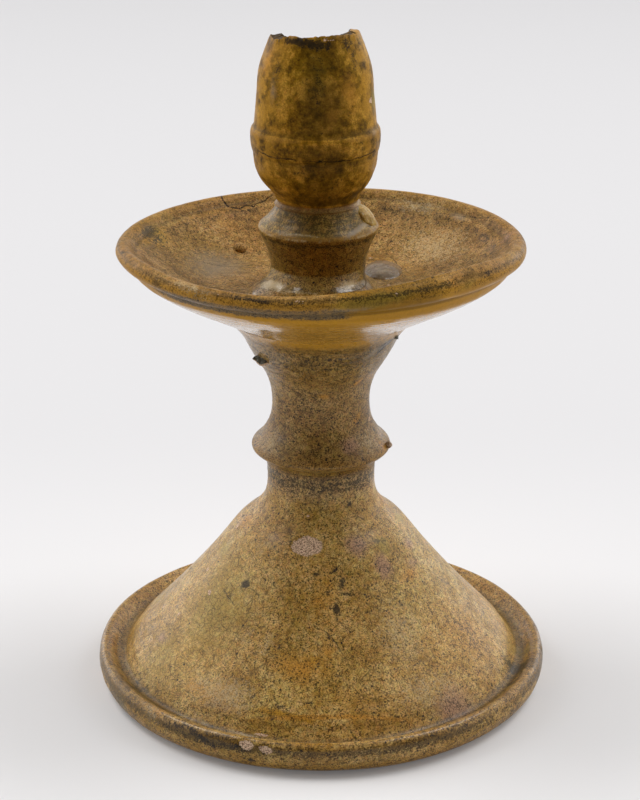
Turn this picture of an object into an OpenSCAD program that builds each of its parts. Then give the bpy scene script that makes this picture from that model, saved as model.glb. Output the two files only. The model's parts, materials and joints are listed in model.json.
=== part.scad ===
// Wheel-thrown, lead-glazed earthenware candlestick. Five sections are thrown one by one, their
// meeting faces are scored, and they are stacked with a layer of slip in each joint. The candle
// socket has lost the back of its mouth, and grit and drops of glaze from the kiln cling to it.

/* [Foot] */
// Diameter over the foot's rim
foot_d = 160; // [140:1:190]
// Height of the foot's rim
foot_rim_h = 12; // [10.5:0.1:15]
// Distance from the outside of the rim to the bottom of the gutter
foot_rim_w = 8.4; // [7:0.1:10]
// Depth of the gutter below the rim
gutter_depth = 4; // [2:0.1:5.5]
// Width of the resting face under the rim
foot_rest_w = 8; // [5:0.1:10]
// Thickness of the cone's wall
foot_wall = 6.5; // [4:0.1:8]
// How far the middle of the cone's side is drawn in from a straight line
cone_sag = 1.4; // [0:0.1:3]
// Height of the foot up to the joint under the knop
foot_h = 82.2; // [76:0.1:95]
// Diameter of the neck above the cone
neck_d = 37.6; // [34:0.1:41]
// Height of the neck above the cone's shoulder
neck_h = 10; // [7:0.1:14]
// Diameter of the hollow inside the neck
neck_bore_d = 22; // [14:0.1:26]
// Depth of the finger ridges that throwing leaves inside the cone
ridge_depth = 0.5; // [0:0.1:1]
// Distance from one finger ridge to the next
ridge_pitch = 8; // [5:0.5:12]

/* [Stem] */
// Height of the stem
stem_h = 46.8; // [42:0.1:60]
// Diameter over the knop
knop_d = 48.4; // [44:0.1:54]
// Height of the knop's edge above the joint below it
knop_edge_z = 3.6; // [2.5:0.1:5]
// Diameter of the waist
waist_d = 34; // [31:0.1:36]
// Height of the middle of the waist above the joint
waist_z = 19.8; // [18:0.1:23]
// Diameter of the flared top
stem_top_d = 56; // [52:0.1:62]
// Diameter of the hollow at the waist
stem_bore_d = 19; // [12:0.1:21]
// Thickness of the wall at the flared top
stem_top_wall = 9.5; // [7:0.1:12]

/* [Drip pan] */
// Diameter over the pan's lip
pan_d = 138; // [124:1:160]
// Height of the pan, from its seat on the stem to its lip
pan_h = 29.5; // [27:0.1:36]
// Thickness of the pan's side
pan_wall = 5.2; // [4:0.1:6.5]
// Width of the rolled lip
pan_lip_w = 5.4; // [4:0.1:7]
// Height of the rolled lip above the groove under it
pan_lip_h = 5.9; // [4.5:0.1:7]
// Height of the floor at the pan's middle, above the seat on the stem
pan_floor_z = 13.4; // [11:0.1:15]
// Depth of the hollow turned out of the underside, over the stem
pan_recess = 5; // [2:0.1:6]
// Diameter of the vent through the middle of the floor
vent_d = 9; // [5:0.1:11]

/* [Upper stem] */
// Height of the upper stem
upper_h = 28.1; // [25:0.1:34]
// Diameter of the foot of the upper stem
upper_foot_d = 36.4; // [34:0.1:42]
// Diameter of its waist
upper_waist_d = 31.6; // [28:0.1:33]
// Diameter over the collar
collar_d = 40.6; // [37:0.1:46]
// Height of the sloping shoulder above the collar's edge
collar_rise = 8.5; // [6:0.1:10]
// Diameter of the top, under the socket
upper_top_d = 27.2; // [25:0.1:29]
// Diameter of the hollow through the upper stem
upper_bore_d = 12; // [8:0.1:14]
// How far the upper stem was set to the left of the pan's middle
upper_shift = 0.9; // [0:0.1:1.5]

/* [Candle socket] */
// Height of the socket
socket_h = 57.5; // [52:0.1:66]
// Diameter of the socket's foot
socket_foot_d = 27.8; // [26:0.1:30]
// Diameter over the raised band
band_d = 43.2; // [41:0.1:46]
// Height of the band's lower edge above the socket's foot
band_z = 17.3; // [15:0.1:21]
// Height of the band
band_h = 7.1; // [5.5:0.1:9]
// How far the band stands out from the wall over it
band_step = 1.6; // [1:0.1:2.2]
// Outside diameter of the mouth
mouth_d = 27.6; // [26:0.1:31]
// Diameter of the candle hole
candle_d = 22; // [18:0.1:23.5]
// Length of the straight candle hole below the mouth
throat_h = 24; // [18:0.1:26]
// Thickness of the belly's wall
socket_wall = 5.6; // [4.5:0.1:7]
// Thickness of the socket's floor
socket_floor = 6.5; // [5:0.1:8]
// How far the socket was set to the left of the upper stem's middle
socket_shift = 0.9; // [0:0.1:1.5]
// Depth of the break at the back of the mouth
break_depth = 9; // [4:0.5:13]
// Angle that the break takes up round the mouth
break_angle = 186; // [120:1:220]
// How far the front of the mouth is worn down
mouth_wear = 2; // [0:0.1:3]

/* [Luted joints] */
// Thickness of the slip in each joint
slip_t = 1; // [0.6:0.1:1.6]
// How far the slip lies behind the face of the sections that it joins
slip_inset = 0.5; // [0.2:0.1:1]
// Depth of the scoring in each face
score_depth = 0.5; // [0.2:0.05:0.8]
// Distance from one scored groove to the next
score_pitch = 1.8; // [1.4:0.1:2.6]

/* [Kiln marks] */
// Length of the potsherd stuck to the left of the stem
sherd_l = 6.5; // [4:0.1:9]
// Length of the potsherd stuck to the right of the stem
chip_l = 5.5; // [3:0.1:8]
// Diameter of the bead of grit on the knop
bead_d = 4; // [2.5:0.1:5]
// Length of the glaze drop on the collar
collar_drop_l = 7; // [5:0.1:8]
// Length of the glaze drop on the pan's floor
pan_drop_l = 10; // [7:0.1:12]
// Diameter of the pebble on the pan's floor
pebble_d = 4.2; // [3:0.1:6]

/* [Hidden] */

$fn = 96;
// Steps in each span of a smooth outline
steps = 4;

glaze_ochre = [0.62, 0.45, 0.22];
glaze_olive = [0.52, 0.38, 0.16];
glaze_grey = [0.55, 0.50, 0.42];
slip_buff = [0.72, 0.58, 0.42];
grit_dark = [0.22, 0.20, 0.16];

foot_r = foot_d / 2;
neck_r = neck_d / 2;
neck_bore_r = neck_bore_d / 2;
knop_r = knop_d / 2;
waist_r = waist_d / 2;
stem_top_r = stem_top_d / 2;
pan_r = pan_d / 2;
upper_foot_r = upper_foot_d / 2;
upper_waist_r = upper_waist_d / 2;
collar_r = collar_d / 2;
upper_top_r = upper_top_d / 2;
socket_foot_r = socket_foot_d / 2;
band_r = band_d / 2;
mouth_r = mouth_d / 2;
candle_r = candle_d / 2;

// Height of each section's lower face above the table, and its shift to the side
stem_z = foot_h + slip_t;
pan_z = stem_z + stem_h + slip_t;
upper_z = pan_z + pan_floor_z + slip_t;
socket_z = upper_z + upper_h + slip_t;
upper_x = -upper_shift;
socket_x = -upper_shift - socket_shift;

// Each luted joint: its middle, the height of the face below it, and its inner and outer radius
foot_joint = [0, foot_h, neck_bore_r, neck_r - slip_inset];
stem_joint = [0, stem_z + stem_h, stem_top_r - stem_top_wall, stem_top_r - slip_inset];
pan_joint = [upper_x, pan_z + pan_floor_z, upper_bore_d / 2, upper_foot_r - slip_inset];
socket_joint = [socket_x, upper_z + upper_h, upper_bore_d / 2 + socket_shift,
    upper_top_r - socket_shift - slip_inset];

// A smooth line through the points p (Catmull-Rom), used for every thrown curve
function smooth(p) = let (n = len(p)) [
    for (i = [0 : n - 2], k = [0 : steps - 1])
        let (a = p[max(i - 1, 0)], b = p[i], c = p[i + 1], d = p[min(i + 2, n - 1)], t = k / steps)
            0.5 * (2 * b + (c - a) * t + (2 * a - 5 * b + 4 * c - d) * t * t
                + (3 * b - 3 * c + d - a) * t * t * t),
    p[n - 1]];

// The points p moved square to their line by w, to the left of its direction
function offset_line(p, w) = let (n = len(p)) [
    for (i = [0 : n - 1])
        let (d = p[min(i + 1, n - 1)] - p[max(i - 1, 0)]) p[i] + w * [-d[1], d[0]] / norm(d)];

function reversed(p) = [for (i = [len(p) - 1 : -1 : 0]) p[i]];

// Radius of an outline at height z, and height of an outline at radius r
function radius_at(p, z) = lookup(z, [for (q = p) [q[1], q[0]]]);
function height_at(p, r) = lookup(r, p);

module turned(profile) {
    rotate_extrude() polygon(profile);
}

// Foot: rolled rim, gutter and cone outside, and a hollow with finger ridges inside
gutter_r = foot_r - foot_rim_w;
gutter_z = foot_rim_h - gutter_depth;
shoulder_z = foot_h - neck_h;
cone_low = [gutter_r - 5.6, foot_rim_h + 2.4];
cone_top = [neck_r + 11.2, shoulder_z - 15.2];
cone_angle = atan2(cone_top[1] - cone_low[1], cone_low[0] - cone_top[0]);
// A point on the cone's side at height z
function cone_point(z) = let (t = (z - cone_low[1]) / (cone_top[1] - cone_low[1]))
    [cone_low[0] + (cone_top[0] - cone_low[0]) * t - cone_sag * sin(180 * min(1, max(0, t))), z];
function foot_outside() = smooth(concat(
    [[foot_r - 5, 0], [foot_r - 1.6, 2.4], [foot_r, foot_rim_h * 0.55],
        [foot_r - 0.6, foot_rim_h - 1.4], [foot_r - 2.5, foot_rim_h],
        [foot_r - 4.5, foot_rim_h - 1.2], [gutter_r + 1.6, gutter_z + 0.5],
        [gutter_r - 0.6, gutter_z + 0.1], [gutter_r - 3, gutter_z + 2.6]],
    [for (k = [0 : 4]) cone_point(cone_low[1] + (cone_top[1] - cone_low[1]) * k / 4)],
    [[neck_r + 5.7, shoulder_z - 10.5], [neck_r + 2.4, shoulder_z - 6.7],
        [neck_r + 0.7, shoulder_z - 3.2], [neck_r, shoulder_z + 1.8], [neck_r + 0.3, foot_h]]));
// Inside, the wall is measured square to the cone, so it is wider along the radius
ridge_steps = 4;
hollow_low_z = foot_rim_h * 0.5;
hollow_n = floor((cone_top[1] - hollow_low_z) / (ridge_pitch / ridge_steps));
function hollow_point(k) = let (z = hollow_low_z + k * ridge_pitch / ridge_steps)
    [cone_point(z)[0] - foot_wall / sin(cone_angle) + ridge_depth * sin(360 * k / ridge_steps), z];
function foot_inside() = concat(
    [[foot_r - 5 - foot_rest_w, 0], [foot_r - 5.8 - foot_rest_w, 1.2]],
    [for (k = [0 : hollow_n]) hollow_point(k)],
    [[neck_bore_r + 3, shoulder_z - 7], [neck_bore_r, shoulder_z - 1], [neck_bore_r, foot_h]]);

// Stem: knop, waist and flare, and a hollow that follows the flare
function stem_outside() = let (rise = stem_h - waist_z, out = stem_top_r - waist_r) smooth([
    [neck_r + 0.4, 0], [neck_r + 2, 0.7], [knop_r - 0.7, knop_edge_z - 1.3],
    [knop_r, knop_edge_z], [knop_r - 0.8, knop_edge_z + 1.5], [knop_r - 2.8, knop_edge_z + 3.3],
    [waist_r + 2.6, waist_z - 10.4], [waist_r + 0.8, waist_z - 6.6], [waist_r, waist_z - 2],
    [waist_r, waist_z + rise * 0.08], [waist_r + out * 0.06, waist_z + rise * 0.24],
    [waist_r + out * 0.21, waist_z + rise * 0.41], [waist_r + out * 0.45, waist_z + rise * 0.57],
    [waist_r + out * 0.7, waist_z + rise * 0.75], [stem_top_r, stem_h]]);
function stem_inside() = smooth([
    [neck_bore_r, 0], [stem_bore_d / 2 + 0.3, 4], [stem_bore_d / 2, waist_z],
    [stem_bore_d / 2 + 1.6, (waist_z + stem_h) / 2],
    [stem_top_r - stem_top_wall, stem_h]]);

// Drip pan: dished underside, rolled lip over a groove, and the floor inside
function pan_under() = let (run = pan_r - 4.8 - stem_top_r, rise = pan_h - pan_lip_h - 1.6)
    smooth([[stem_top_r, 0], [stem_top_r + run * 0.045, rise * 0.075],
        [stem_top_r + run * 0.22, rise * 0.235], [stem_top_r + run * 0.47, rise * 0.455],
        [stem_top_r + run * 0.705, rise * 0.66], [stem_top_r + run * 0.9, rise * 0.86],
        [pan_r - 4.8, rise]]);
function pan_lip() = smooth([
    [pan_r - 4, pan_h - pan_lip_h], [pan_r - 1.9, pan_h - pan_lip_h + 0.9],
    [pan_r - 0.4, pan_h - 3.6], [pan_r, pan_h - 2.3], [pan_r - 0.7, pan_h - 0.7],
    [pan_r - pan_lip_w * 0.45, pan_h], [pan_r - pan_lip_w * 0.85, pan_h - 0.8],
    [pan_r - pan_lip_w - 0.9, pan_h - 3]]);
// The floor is level round the upper stem and runs into the line of the pan's side
function pan_floor() = let (side = offset_line(pan_under(), pan_wall),
        start = [for (q = side) if (q[1] > pan_floor_z + 1.4 && q[0] < pan_r - pan_lip_w - 3) q])
    concat([[0, pan_floor_z], [upper_foot_r + 1 + upper_shift, pan_floor_z],
        [start[0][0] - 5, pan_floor_z + 0.3]], start);
function pan_profile() = concat(
    [[vent_d / 2, pan_floor_z], [vent_d / 2, pan_recess],
        [stem_top_r - stem_top_wall - 2, pan_recess], [stem_top_r - stem_top_wall, 0]],
    pan_under(), pan_lip(), [for (q = reversed(pan_floor())) if (q[0] > vent_d / 2) q]);

// Upper stem: spread foot, waist, collar and the shoulder under the socket
function upper_outside() = let (edge_z = upper_h - collar_rise) smooth([
    [upper_foot_r, 0], [upper_waist_r + 1.1, 0.9], [upper_waist_r + 0.3, 2.1],
    [upper_waist_r, 3.6], [upper_waist_r + 0.5, edge_z * 0.42],
    [upper_waist_r + (collar_r - upper_waist_r) * 0.38, edge_z * 0.66],
    [collar_r - 0.9, edge_z * 0.87], [collar_r, edge_z], [collar_r - 0.6, edge_z + 1.2],
    [collar_r - 2.6, edge_z + 3], [upper_top_r + 1.5, upper_h - 2.6], [upper_top_r, upper_h]]);

// Candle socket: cup, raised band between a crease and a ledge, wall, mouth, and the hollow inside
socket_ledge_z = band_z + band_h;
socket_wall_r = band_r - band_step;
throat_z = socket_h - throat_h;
function socket_outside() = let (rise = socket_h - socket_ledge_z, in = socket_wall_r - mouth_r)
    concat(
        smooth([[socket_foot_r, 0], [socket_foot_r + 0.5, band_z * 0.11],
            [socket_foot_r + 1.6, band_z * 0.2], [socket_foot_r + 3.3, band_z * 0.32],
            [band_r - 2.9, band_z * 0.45], [band_r - 1.5, band_z * 0.65],
            [band_r - 1, band_z * 0.81], [band_r - 0.8, band_z * 0.97]]),
        smooth([[band_r - 0.4, band_z + 0.4], [band_r - 0.1, band_z + band_h * 0.35],
            [band_r, band_z + band_h * 0.6], [band_r - 0.1, band_z + band_h * 0.85],
            [band_r - 0.3, socket_ledge_z]]),
        smooth([[band_r - 0.9, socket_ledge_z + 0.4], [socket_wall_r + 0.2, socket_ledge_z + 1.8],
            [socket_wall_r, socket_ledge_z + 4],
            [socket_wall_r - in * 0.12, socket_ledge_z + rise * 0.34],
            [socket_wall_r - in * 0.19, socket_ledge_z + rise * 0.52],
            [socket_wall_r - in * 0.31, socket_ledge_z + rise * 0.64],
            [socket_wall_r - in * 0.65, socket_ledge_z + rise * 0.82],
            [mouth_r + 0.1, socket_h - 1], [mouth_r - 0.7, socket_h]]));
function socket_inside() = concat(
    [[candle_r + 0.4, socket_h], [candle_r, socket_h - 0.4], [candle_r, throat_z]],
    smooth([[candle_r + 0.3, throat_z - 1], [band_r - socket_wall, band_z + band_h * 0.2],
        [socket_foot_r, band_z * 0.62], [5, socket_floor + 0.5], [0, socket_floor]]));

// What is missing from the mouth: the break round the back, and wear at the front
break_mid = 98;
wear_mid = 232;
break_sides = 48;
function apart(a, b) = abs((a - b + 540) % 360 - 180);
function mouth_loss(a) = let (t = min(1, 2 * apart(a, break_mid) / break_angle)) max(
    break_depth * (1 - pow(t, 4)) + (1 - t) * (0.9 * sin(a * 7) + 0.6 * sin(a * 17)),
    mouth_wear * (1 + cos(a - wear_mid)) / 2 + 0.15 * sin(a * 13));
function break_ring(r, drop) = [for (i = [0 : break_sides - 1]) let (a = 360 * i / break_sides)
    [r * cos(a), r * sin(a), socket_h - mouth_loss(a) - drop]];
module missing_mouth() {
    n = break_sides;
    inner = break_ring(candle_r - 2, 0);
    outer = break_ring(band_r + 1, 2);
    lid = [for (q = outer) [q[0], q[1], socket_h + 1]];
    mid = 3 * n;
    polyhedron(
        points = concat(inner, outer, lid,
            [[0, 0, socket_h - break_depth / 2], [0, 0, socket_h + 1]]),
        faces = [for (i = [0 : n - 1]) let (j = (i + 1) % n) each [
            [i, j, mid], [n + i, n + j, j], [n + i, j, i],
            [2 * n + i, 2 * n + j, n + j], [2 * n + i, n + j, n + i],
            [2 * n + j, 2 * n + i, mid + 1]]]);
}

// Scoring: rings of V grooves that go from the joint's lower face down, or its upper face up
groove_half_w = score_pitch / 4;
function groove_count(j) = floor((j[3] - j[2]) / score_pitch);
function groove_r(j, i) = let (spare = j[3] - j[2] - groove_count(j) * score_pitch)
    j[2] + spare / 2 + (i + 0.5) * score_pitch;
// One face of the slip, from its inner to its outer radius, with a ridge in each groove
function slip_face(j, z, depth) = concat([[j[2], z]],
    [for (i = [0 : groove_count(j) - 1]) each [[groove_r(j, i) - groove_half_w, z],
        [groove_r(j, i), z + depth], [groove_r(j, i) + groove_half_w, z]]],
    [[j[3], z]]);
module slip(j) {
    translate([j[0], 0, j[1]])
        turned(concat(slip_face(j, 0, -score_depth), reversed(slip_face(j, slip_t, score_depth))));
}
// The slip's ridges alone, to cut the grooves out of the sections that they hold
module scoring(j) {
    translate([j[0], 0, j[1]])
        for (i = [0 : groove_count(j) - 1])
            turned([[groove_r(j, i), -score_depth], [groove_r(j, i) + groove_half_w, 0],
                [groove_r(j, i) + groove_half_w, slip_t], [groove_r(j, i), slip_t + score_depth],
                [groove_r(j, i) - groove_half_w, slip_t], [groove_r(j, i) - groove_half_w, 0]]);
}

// The five sections as they leave the wheel, in their places
module foot_blank() {
    turned(concat(foot_outside(), reversed(foot_inside())));
}

module stem_blank() {
    translate([0, 0, stem_z]) turned(concat(stem_outside(), reversed(stem_inside())));
}

module pan_blank() {
    translate([0, 0, pan_z]) turned(pan_profile());
}

module upper_blank() {
    translate([upper_x, 0, upper_z]) turned(concat(upper_outside(),
        [[upper_bore_d / 2, upper_h], [upper_bore_d / 2, 0]]));
}

module socket_blank() {
    translate([socket_x, 0, socket_z]) turned(concat([[0, 0]], socket_outside(), socket_inside()));
}

module foot_slip() {
    color(slip_buff) slip(foot_joint);
}

module stem_slip() {
    color(slip_buff) slip(stem_joint);
}

module pan_slip() {
    color(slip_buff) slip(pan_joint);
}

module socket_slip() {
    color(slip_buff) slip(socket_joint);
}

module foot() {
    color(glaze_ochre) difference() {
        foot_blank();
        scoring(foot_joint);
    }
}

module stem() {
    color(glaze_ochre) difference() {
        stem_blank();
        scoring(foot_joint);
        scoring(stem_joint);
    }
}

module drip_pan() {
    color(glaze_ochre) difference() {
        pan_blank();
        scoring(stem_joint);
        scoring(pan_joint);
    }
}

module upper_stem() {
    color(glaze_ochre) difference() {
        upper_blank();
        scoring(pan_joint);
        scoring(socket_joint);
    }
}

module candle_socket() {
    color(glaze_olive) difference() {
        socket_blank();
        scoring(socket_joint);
        translate([socket_x, 0, socket_z]) missing_mouth();
    }
}

// A broken piece of pot, with split faces
module sherd(l) {
    intersection() {
        cube([l, l * 0.45, l * 0.7], center = true);
        rotate([38, 30, 20]) cube(l * 0.82, center = true);
    }
}

// A drop of glaze: a low dome, sunk a little so that it meets a curved surface all round
drop_sunk = 1.2;
module glaze_drop(l) {
    turned(concat([[0, -drop_sunk]], smooth([[l * 0.46, -drop_sunk], [l * 0.5, l * 0.02],
        [l * 0.42, l * 0.11], [l * 0.22, l * 0.19], [0, l * 0.21]])));
}

// The two potsherds sit on the flare of the stem: share of its height, and angle from the right
sherd_left_at = [0.84, -146];
sherd_right_at = [0.96, -11];
module on_flare(at) {
    z = stem_h * at[0];
    rotate([0, 0, at[1]]) translate([radius_at(stem_outside(), z), 0, stem_z + z]) children();
}

module sherd_left() {
    color(grit_dark) difference() {
        on_flare(sherd_left_at) rotate([14, -30, 80]) sherd(sherd_l);
        stem_blank();
    }
}

module sherd_right() {
    color(grit_dark) difference() {
        on_flare(sherd_right_at) rotate([-18, -38, 96]) sherd(chip_l);
        stem_blank();
        pan_blank();
        stem_slip();
    }
}

bead_angle = -14;
module grit_bead() {
    color(grit_dark) difference() {
        rotate([0, 0, bead_angle]) translate([knop_r + 0.4, 0, stem_z + knop_edge_z + 0.9])
            rotate([25, 40, 0]) sphere(d = bead_d);
        stem_blank();
    }
}

// The drop on the collar lies on the shoulder's slope, at the right
collar_drop_angle = -8;
module collar_drop() {
    r = (collar_r + upper_top_r) / 2;
    slope = atan2(collar_rise, collar_r - upper_top_r);
    z = upper_h - collar_rise * (r - upper_top_r) / (collar_r - upper_top_r);
    color(glaze_grey) difference() {
        translate([upper_x, 0, upper_z]) rotate([0, 0, collar_drop_angle])
            translate([r, 0, z]) rotate([0, slope, 0]) glaze_drop(collar_drop_l);
        upper_blank();
    }
}

pan_drop_at = [28, 38];
module pan_drop() {
    color(glaze_grey) difference() {
        rotate([0, 0, pan_drop_at[1]])
            translate([pan_drop_at[0], 0, pan_z + height_at(pan_floor(), pan_drop_at[0])])
                glaze_drop(pan_drop_l);
        pan_blank();
    }
}

pebble_at = [44.5, 130];
module pan_pebble() {
    color(grit_dark) difference() {
        rotate([0, 0, pebble_at[1]])
            translate([pebble_at[0], 0, pan_z + height_at(pan_floor(), pebble_at[0]) + pebble_d * 0.25])
                sphere(d = pebble_d);
        pan_blank();
    }
}

foot();
foot_slip();
stem();
stem_slip();
drip_pan();
pan_slip();
upper_stem();
socket_slip();
candle_socket();
sherd_left();
sherd_right();
grit_bead();
collar_drop();
pan_drop();
pan_pebble();
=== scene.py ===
import json
import math

import bmesh
import bpy
import numpy as np
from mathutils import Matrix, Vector
from mathutils.bvhtree import BVHTree


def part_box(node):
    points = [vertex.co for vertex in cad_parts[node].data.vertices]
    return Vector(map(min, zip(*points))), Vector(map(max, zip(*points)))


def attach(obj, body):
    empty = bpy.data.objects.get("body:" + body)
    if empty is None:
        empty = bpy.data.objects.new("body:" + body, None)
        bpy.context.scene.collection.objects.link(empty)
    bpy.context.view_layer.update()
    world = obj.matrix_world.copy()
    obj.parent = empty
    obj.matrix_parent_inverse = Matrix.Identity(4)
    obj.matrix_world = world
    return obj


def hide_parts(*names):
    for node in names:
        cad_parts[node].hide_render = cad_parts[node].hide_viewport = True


# Crazed amber earthenware candlestick: thrown sections, slip joints and kiln marks, dressed
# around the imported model. Lengths are in metres, and MM turns millimetres into them.

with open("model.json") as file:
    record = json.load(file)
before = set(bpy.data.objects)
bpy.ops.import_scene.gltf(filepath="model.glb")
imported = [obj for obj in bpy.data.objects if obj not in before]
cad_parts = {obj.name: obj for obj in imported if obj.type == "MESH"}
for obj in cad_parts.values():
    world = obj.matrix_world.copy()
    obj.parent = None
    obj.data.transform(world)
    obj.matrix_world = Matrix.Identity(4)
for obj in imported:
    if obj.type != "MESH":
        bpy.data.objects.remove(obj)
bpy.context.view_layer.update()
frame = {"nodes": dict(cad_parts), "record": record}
NODES = frame["nodes"]
SLOTS = {part["node"]: part["material_slot"] for part in frame["record"]["subparts"]}
MM = 0.001


# Camera: the photograph's view

PHOTO_W, PHOTO_H = 640, 800
FOCAL_PX = 2050
AXIS_PX = 321
SENSOR = 36
PITCH = math.radians(20.77)
CAM_BACK, CAM_UP = 664 * MM, 354.3 * MM
CAM_X = (PHOTO_W / 2 - AXIS_PX) / FOCAL_PX * CAM_BACK


def make_camera():
    cam = bpy.data.cameras.new("camera")
    cam.sensor_width = SENSOR
    cam.lens = FOCAL_PX * SENSOR / PHOTO_H
    cam.clip_start = 0.01
    cam.clip_end = 20
    obj = bpy.data.objects.new("camera", cam)
    obj.location = (CAM_X, -CAM_BACK, CAM_UP)
    obj.rotation_euler = (math.pi / 2 - PITCH, 0, 0)
    bpy.context.scene.collection.objects.link(obj)
    bpy.context.scene.camera = obj


def sight(px, py):
    """Start and direction of the line of sight through a pixel of the photograph."""
    x, up = (px - PHOTO_W / 2) / FOCAL_PX, (PHOTO_H / 2 - py) / FOCAL_PX
    c, s = math.cos(PITCH), math.sin(PITCH)
    way = Vector((x, c + up * s, up * c - s))
    return Vector((CAM_X, -CAM_BACK, CAM_UP)), way.normalized()


# Noise and curves over numpy arrays of points


def lattice(ix, iy, iz, seed):
    h = (ix * 374761393 + iy * 668265263 + iz * 2147483647 + seed * 1274126177) & 0xFFFFFFFF
    h = ((h ^ (h >> 13)) * 1274126177) & 0xFFFFFFFF
    h = h ^ (h >> 16)
    return (h & 0xFFFF) / 32767.5 - 1


def lumps(co, size, seed, octaves=1):
    """Noise from -1 to 1 whose lumps are about size across, at each point of co."""
    total, weight, share = np.zeros(len(co)), 0, 1.0
    for k in range(octaves):
        p = co / (size / 2**k) + 17.3 * k
        i = np.floor(p).astype(np.int64)
        f = p - i
        f = f * f * f * (f * (f * 6 - 15) + 10)
        value = np.zeros(len(co))
        for corner in range(8):
            step = np.array([corner & 1, corner >> 1 & 1, corner >> 2])
            near = np.abs(1 - step - f).prod(axis=1)
            value += near * lattice(*(i + step).T, seed + k)
        total += share * value
        weight += share
        share *= 0.5
    return total / weight


def ease(x, low, high):
    """0 below low, 1 above high, and smooth between them."""
    t = np.clip((x - low) / (high - low), 0, 1)
    return t * t * (3 - 2 * t)


def around(angle, knots, blur=7):
    """Smooth closed curve through knots of degrees and value, read at each angle in degrees."""
    at, value = np.array(sorted(knots.items()), float).T
    fine = np.arange(360)
    line = np.interp(fine, at, value, period=360)
    reach = np.arange(-3 * blur, 3 * blur + 1)
    bell = np.exp(-0.5 * (reach / blur) ** 2)
    line = np.convolve(np.concatenate([line, line, line]), bell / bell.sum(), "same")[360:720]
    return np.interp(angle % 360, fine, line, period=360)


# Surfaces: each turned section is cut through, resampled and turned again by hand

CUT_ANGLE = math.radians(3)
UPPER_X = sum(c.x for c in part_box("upper_stem")) / 2
SOCKET_X = sum(c.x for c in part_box("candle_socket")) / 2
PAN_LOW, PAN_HIGH = (c.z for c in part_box("drip_pan"))
PAN_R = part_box("drip_pan")[1].x
FOOT_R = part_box("foot")[1].x
SOCKET_LOW, MOUTH_Z = (c.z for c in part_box("candle_socket"))
STEM_LOW, STEM_HIGH = (c.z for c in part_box("stem"))

# Grid of each section: sides, steps of the outline where it shows and where it doesn't, and
# the depth and pitch of its throwing rings, in mm
SECTIONS = {
    "foot": dict(axis=0, sides=380, fine=0.6, coarse=2.2, rings=0.05, pitch=2.6),
    "stem": dict(axis=0, sides=320, fine=0.42, coarse=1.8, rings=0.05, pitch=2.1),
    "drip_pan": dict(axis=0, sides=400, fine=0.6, coarse=0.9, rings=0.05, pitch=2.3),
    "upper_stem": dict(axis=UPPER_X, sides=280, fine=0.36, coarse=1.6, rings=0.04, pitch=1.7),
    "candle_socket": dict(axis=SOCKET_X, sides=320, fine=0.4, coarse=0.8, rings=0.02, pitch=2.0),
}
# Slip rings: the sections that each joins, and how far its fillet spreads onto them, in mm
SLIPS = {
    "foot_slip": dict(below="foot", above="stem", spread=2.4),
    "stem_slip": dict(below="stem", above="drip_pan", spread=6),
    "pan_slip": dict(below="drip_pan", above="upper_stem", spread=2.2),
    "socket_slip": dict(below="upper_stem", above="candle_socket", spread=2.6),
}
# Painted layers by group. Besides the object's own colours, pale and clay also carry painted highlights, light and
# glints, gold carries painted light on the socket's sides, shade carries painted shade on the camera side of the socket
# and stem, and edge carries it on the socket's front
LAYERS = {
    "wear": ("clay", "soot", "film"),
    "tint": ("olive", "orange", "pink"),
    "body": ("speck", "edge", "bare"),
    "finish": ("wet", "gold", "shade"),
    "cracks": ("offset", "amount", "dark"),
    "dust": ("pale",),
}


def cut_through(node, axis_x):
    """Outline of a turned node as (radius, height) points, from a half-plane at CUT_ANGLE."""
    bm = bmesh.new()
    bm.from_mesh(NODES[node].data)
    bmesh.ops.remove_doubles(bm, verts=bm.verts, dist=1e-6)
    across = Vector((-math.sin(CUT_ANGLE), math.cos(CUT_ANGLE), 0))
    out = Vector((math.cos(CUT_ANGLE), math.sin(CUT_ANGLE), 0))
    middle = Vector((axis_x, 0, 0))
    everything = bm.verts[:] + bm.edges[:] + bm.faces[:]
    cut = bmesh.ops.bisect_plane(bm, geom=everything, dist=1e-7, plane_co=middle, plane_no=across)
    links = {}
    for e in cut["geom_cut"]:
        if isinstance(e, bmesh.types.BMEdge):
            a, b = (((v.co - middle).dot(out), v.co.z) for v in e.verts)
            if a[0] > 1e-5 and b[0] > 1e-5:
                links.setdefault(a, []).append(b)
                links.setdefault(b, []).append(a)
    bm.free()
    ends = [p for p, near in links.items() if len(near) == 1]
    start = min(ends, key=lambda p: p[1]) if ends else max(links)
    line, last = [start], None
    while True:
        onward = [p for p in links[line[-1]] if p != last]
        if not onward or (onward[0] == start and len(line) > 2):
            break
        last = line[-1]
        line.append(onward[0])
    line = np.array(line)
    after = np.roll(line, -1, 0)
    if ends:
        line[[0, -1], 0] = 0
    elif (line[:, 0] * after[:, 1] - after[:, 0] * line[:, 1]).sum() < 0:
        line = line[::-1]
    return line, not ends


def resample(line, closed, fine, coarse):
    """The outline at even steps: fine where it faces out or up, coarse inside and underneath."""
    if closed:
        line = np.vstack([line, line[:1]])
    step = np.diff(line, axis=0)
    length = np.hypot(step[:, 0], step[:, 1])
    hidden = (step[:, 1] < 0.3 * length) & (step[:, 0] > -0.3 * length)
    total = np.concatenate([[0], np.cumsum(length / np.where(hidden, coarse, fine))])
    at = np.linspace(0, total[-1], int(total[-1]) + 1)
    points = np.column_stack([np.interp(at, total, line[:, k]) for k in (0, 1)])
    return points[:-1] if closed else points


def walk(outline, corner, distance, way):
    """The point of a closed outline at a distance along it from its point nearest to corner."""
    n = len(outline)
    k = int(np.linalg.norm(outline - corner, axis=1).argmin())
    gone = 0
    while gone < distance:
        gone += np.linalg.norm(outline[(k + way) % n] - outline[k])
        k = (k + way) % n
    return outline[k]


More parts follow.
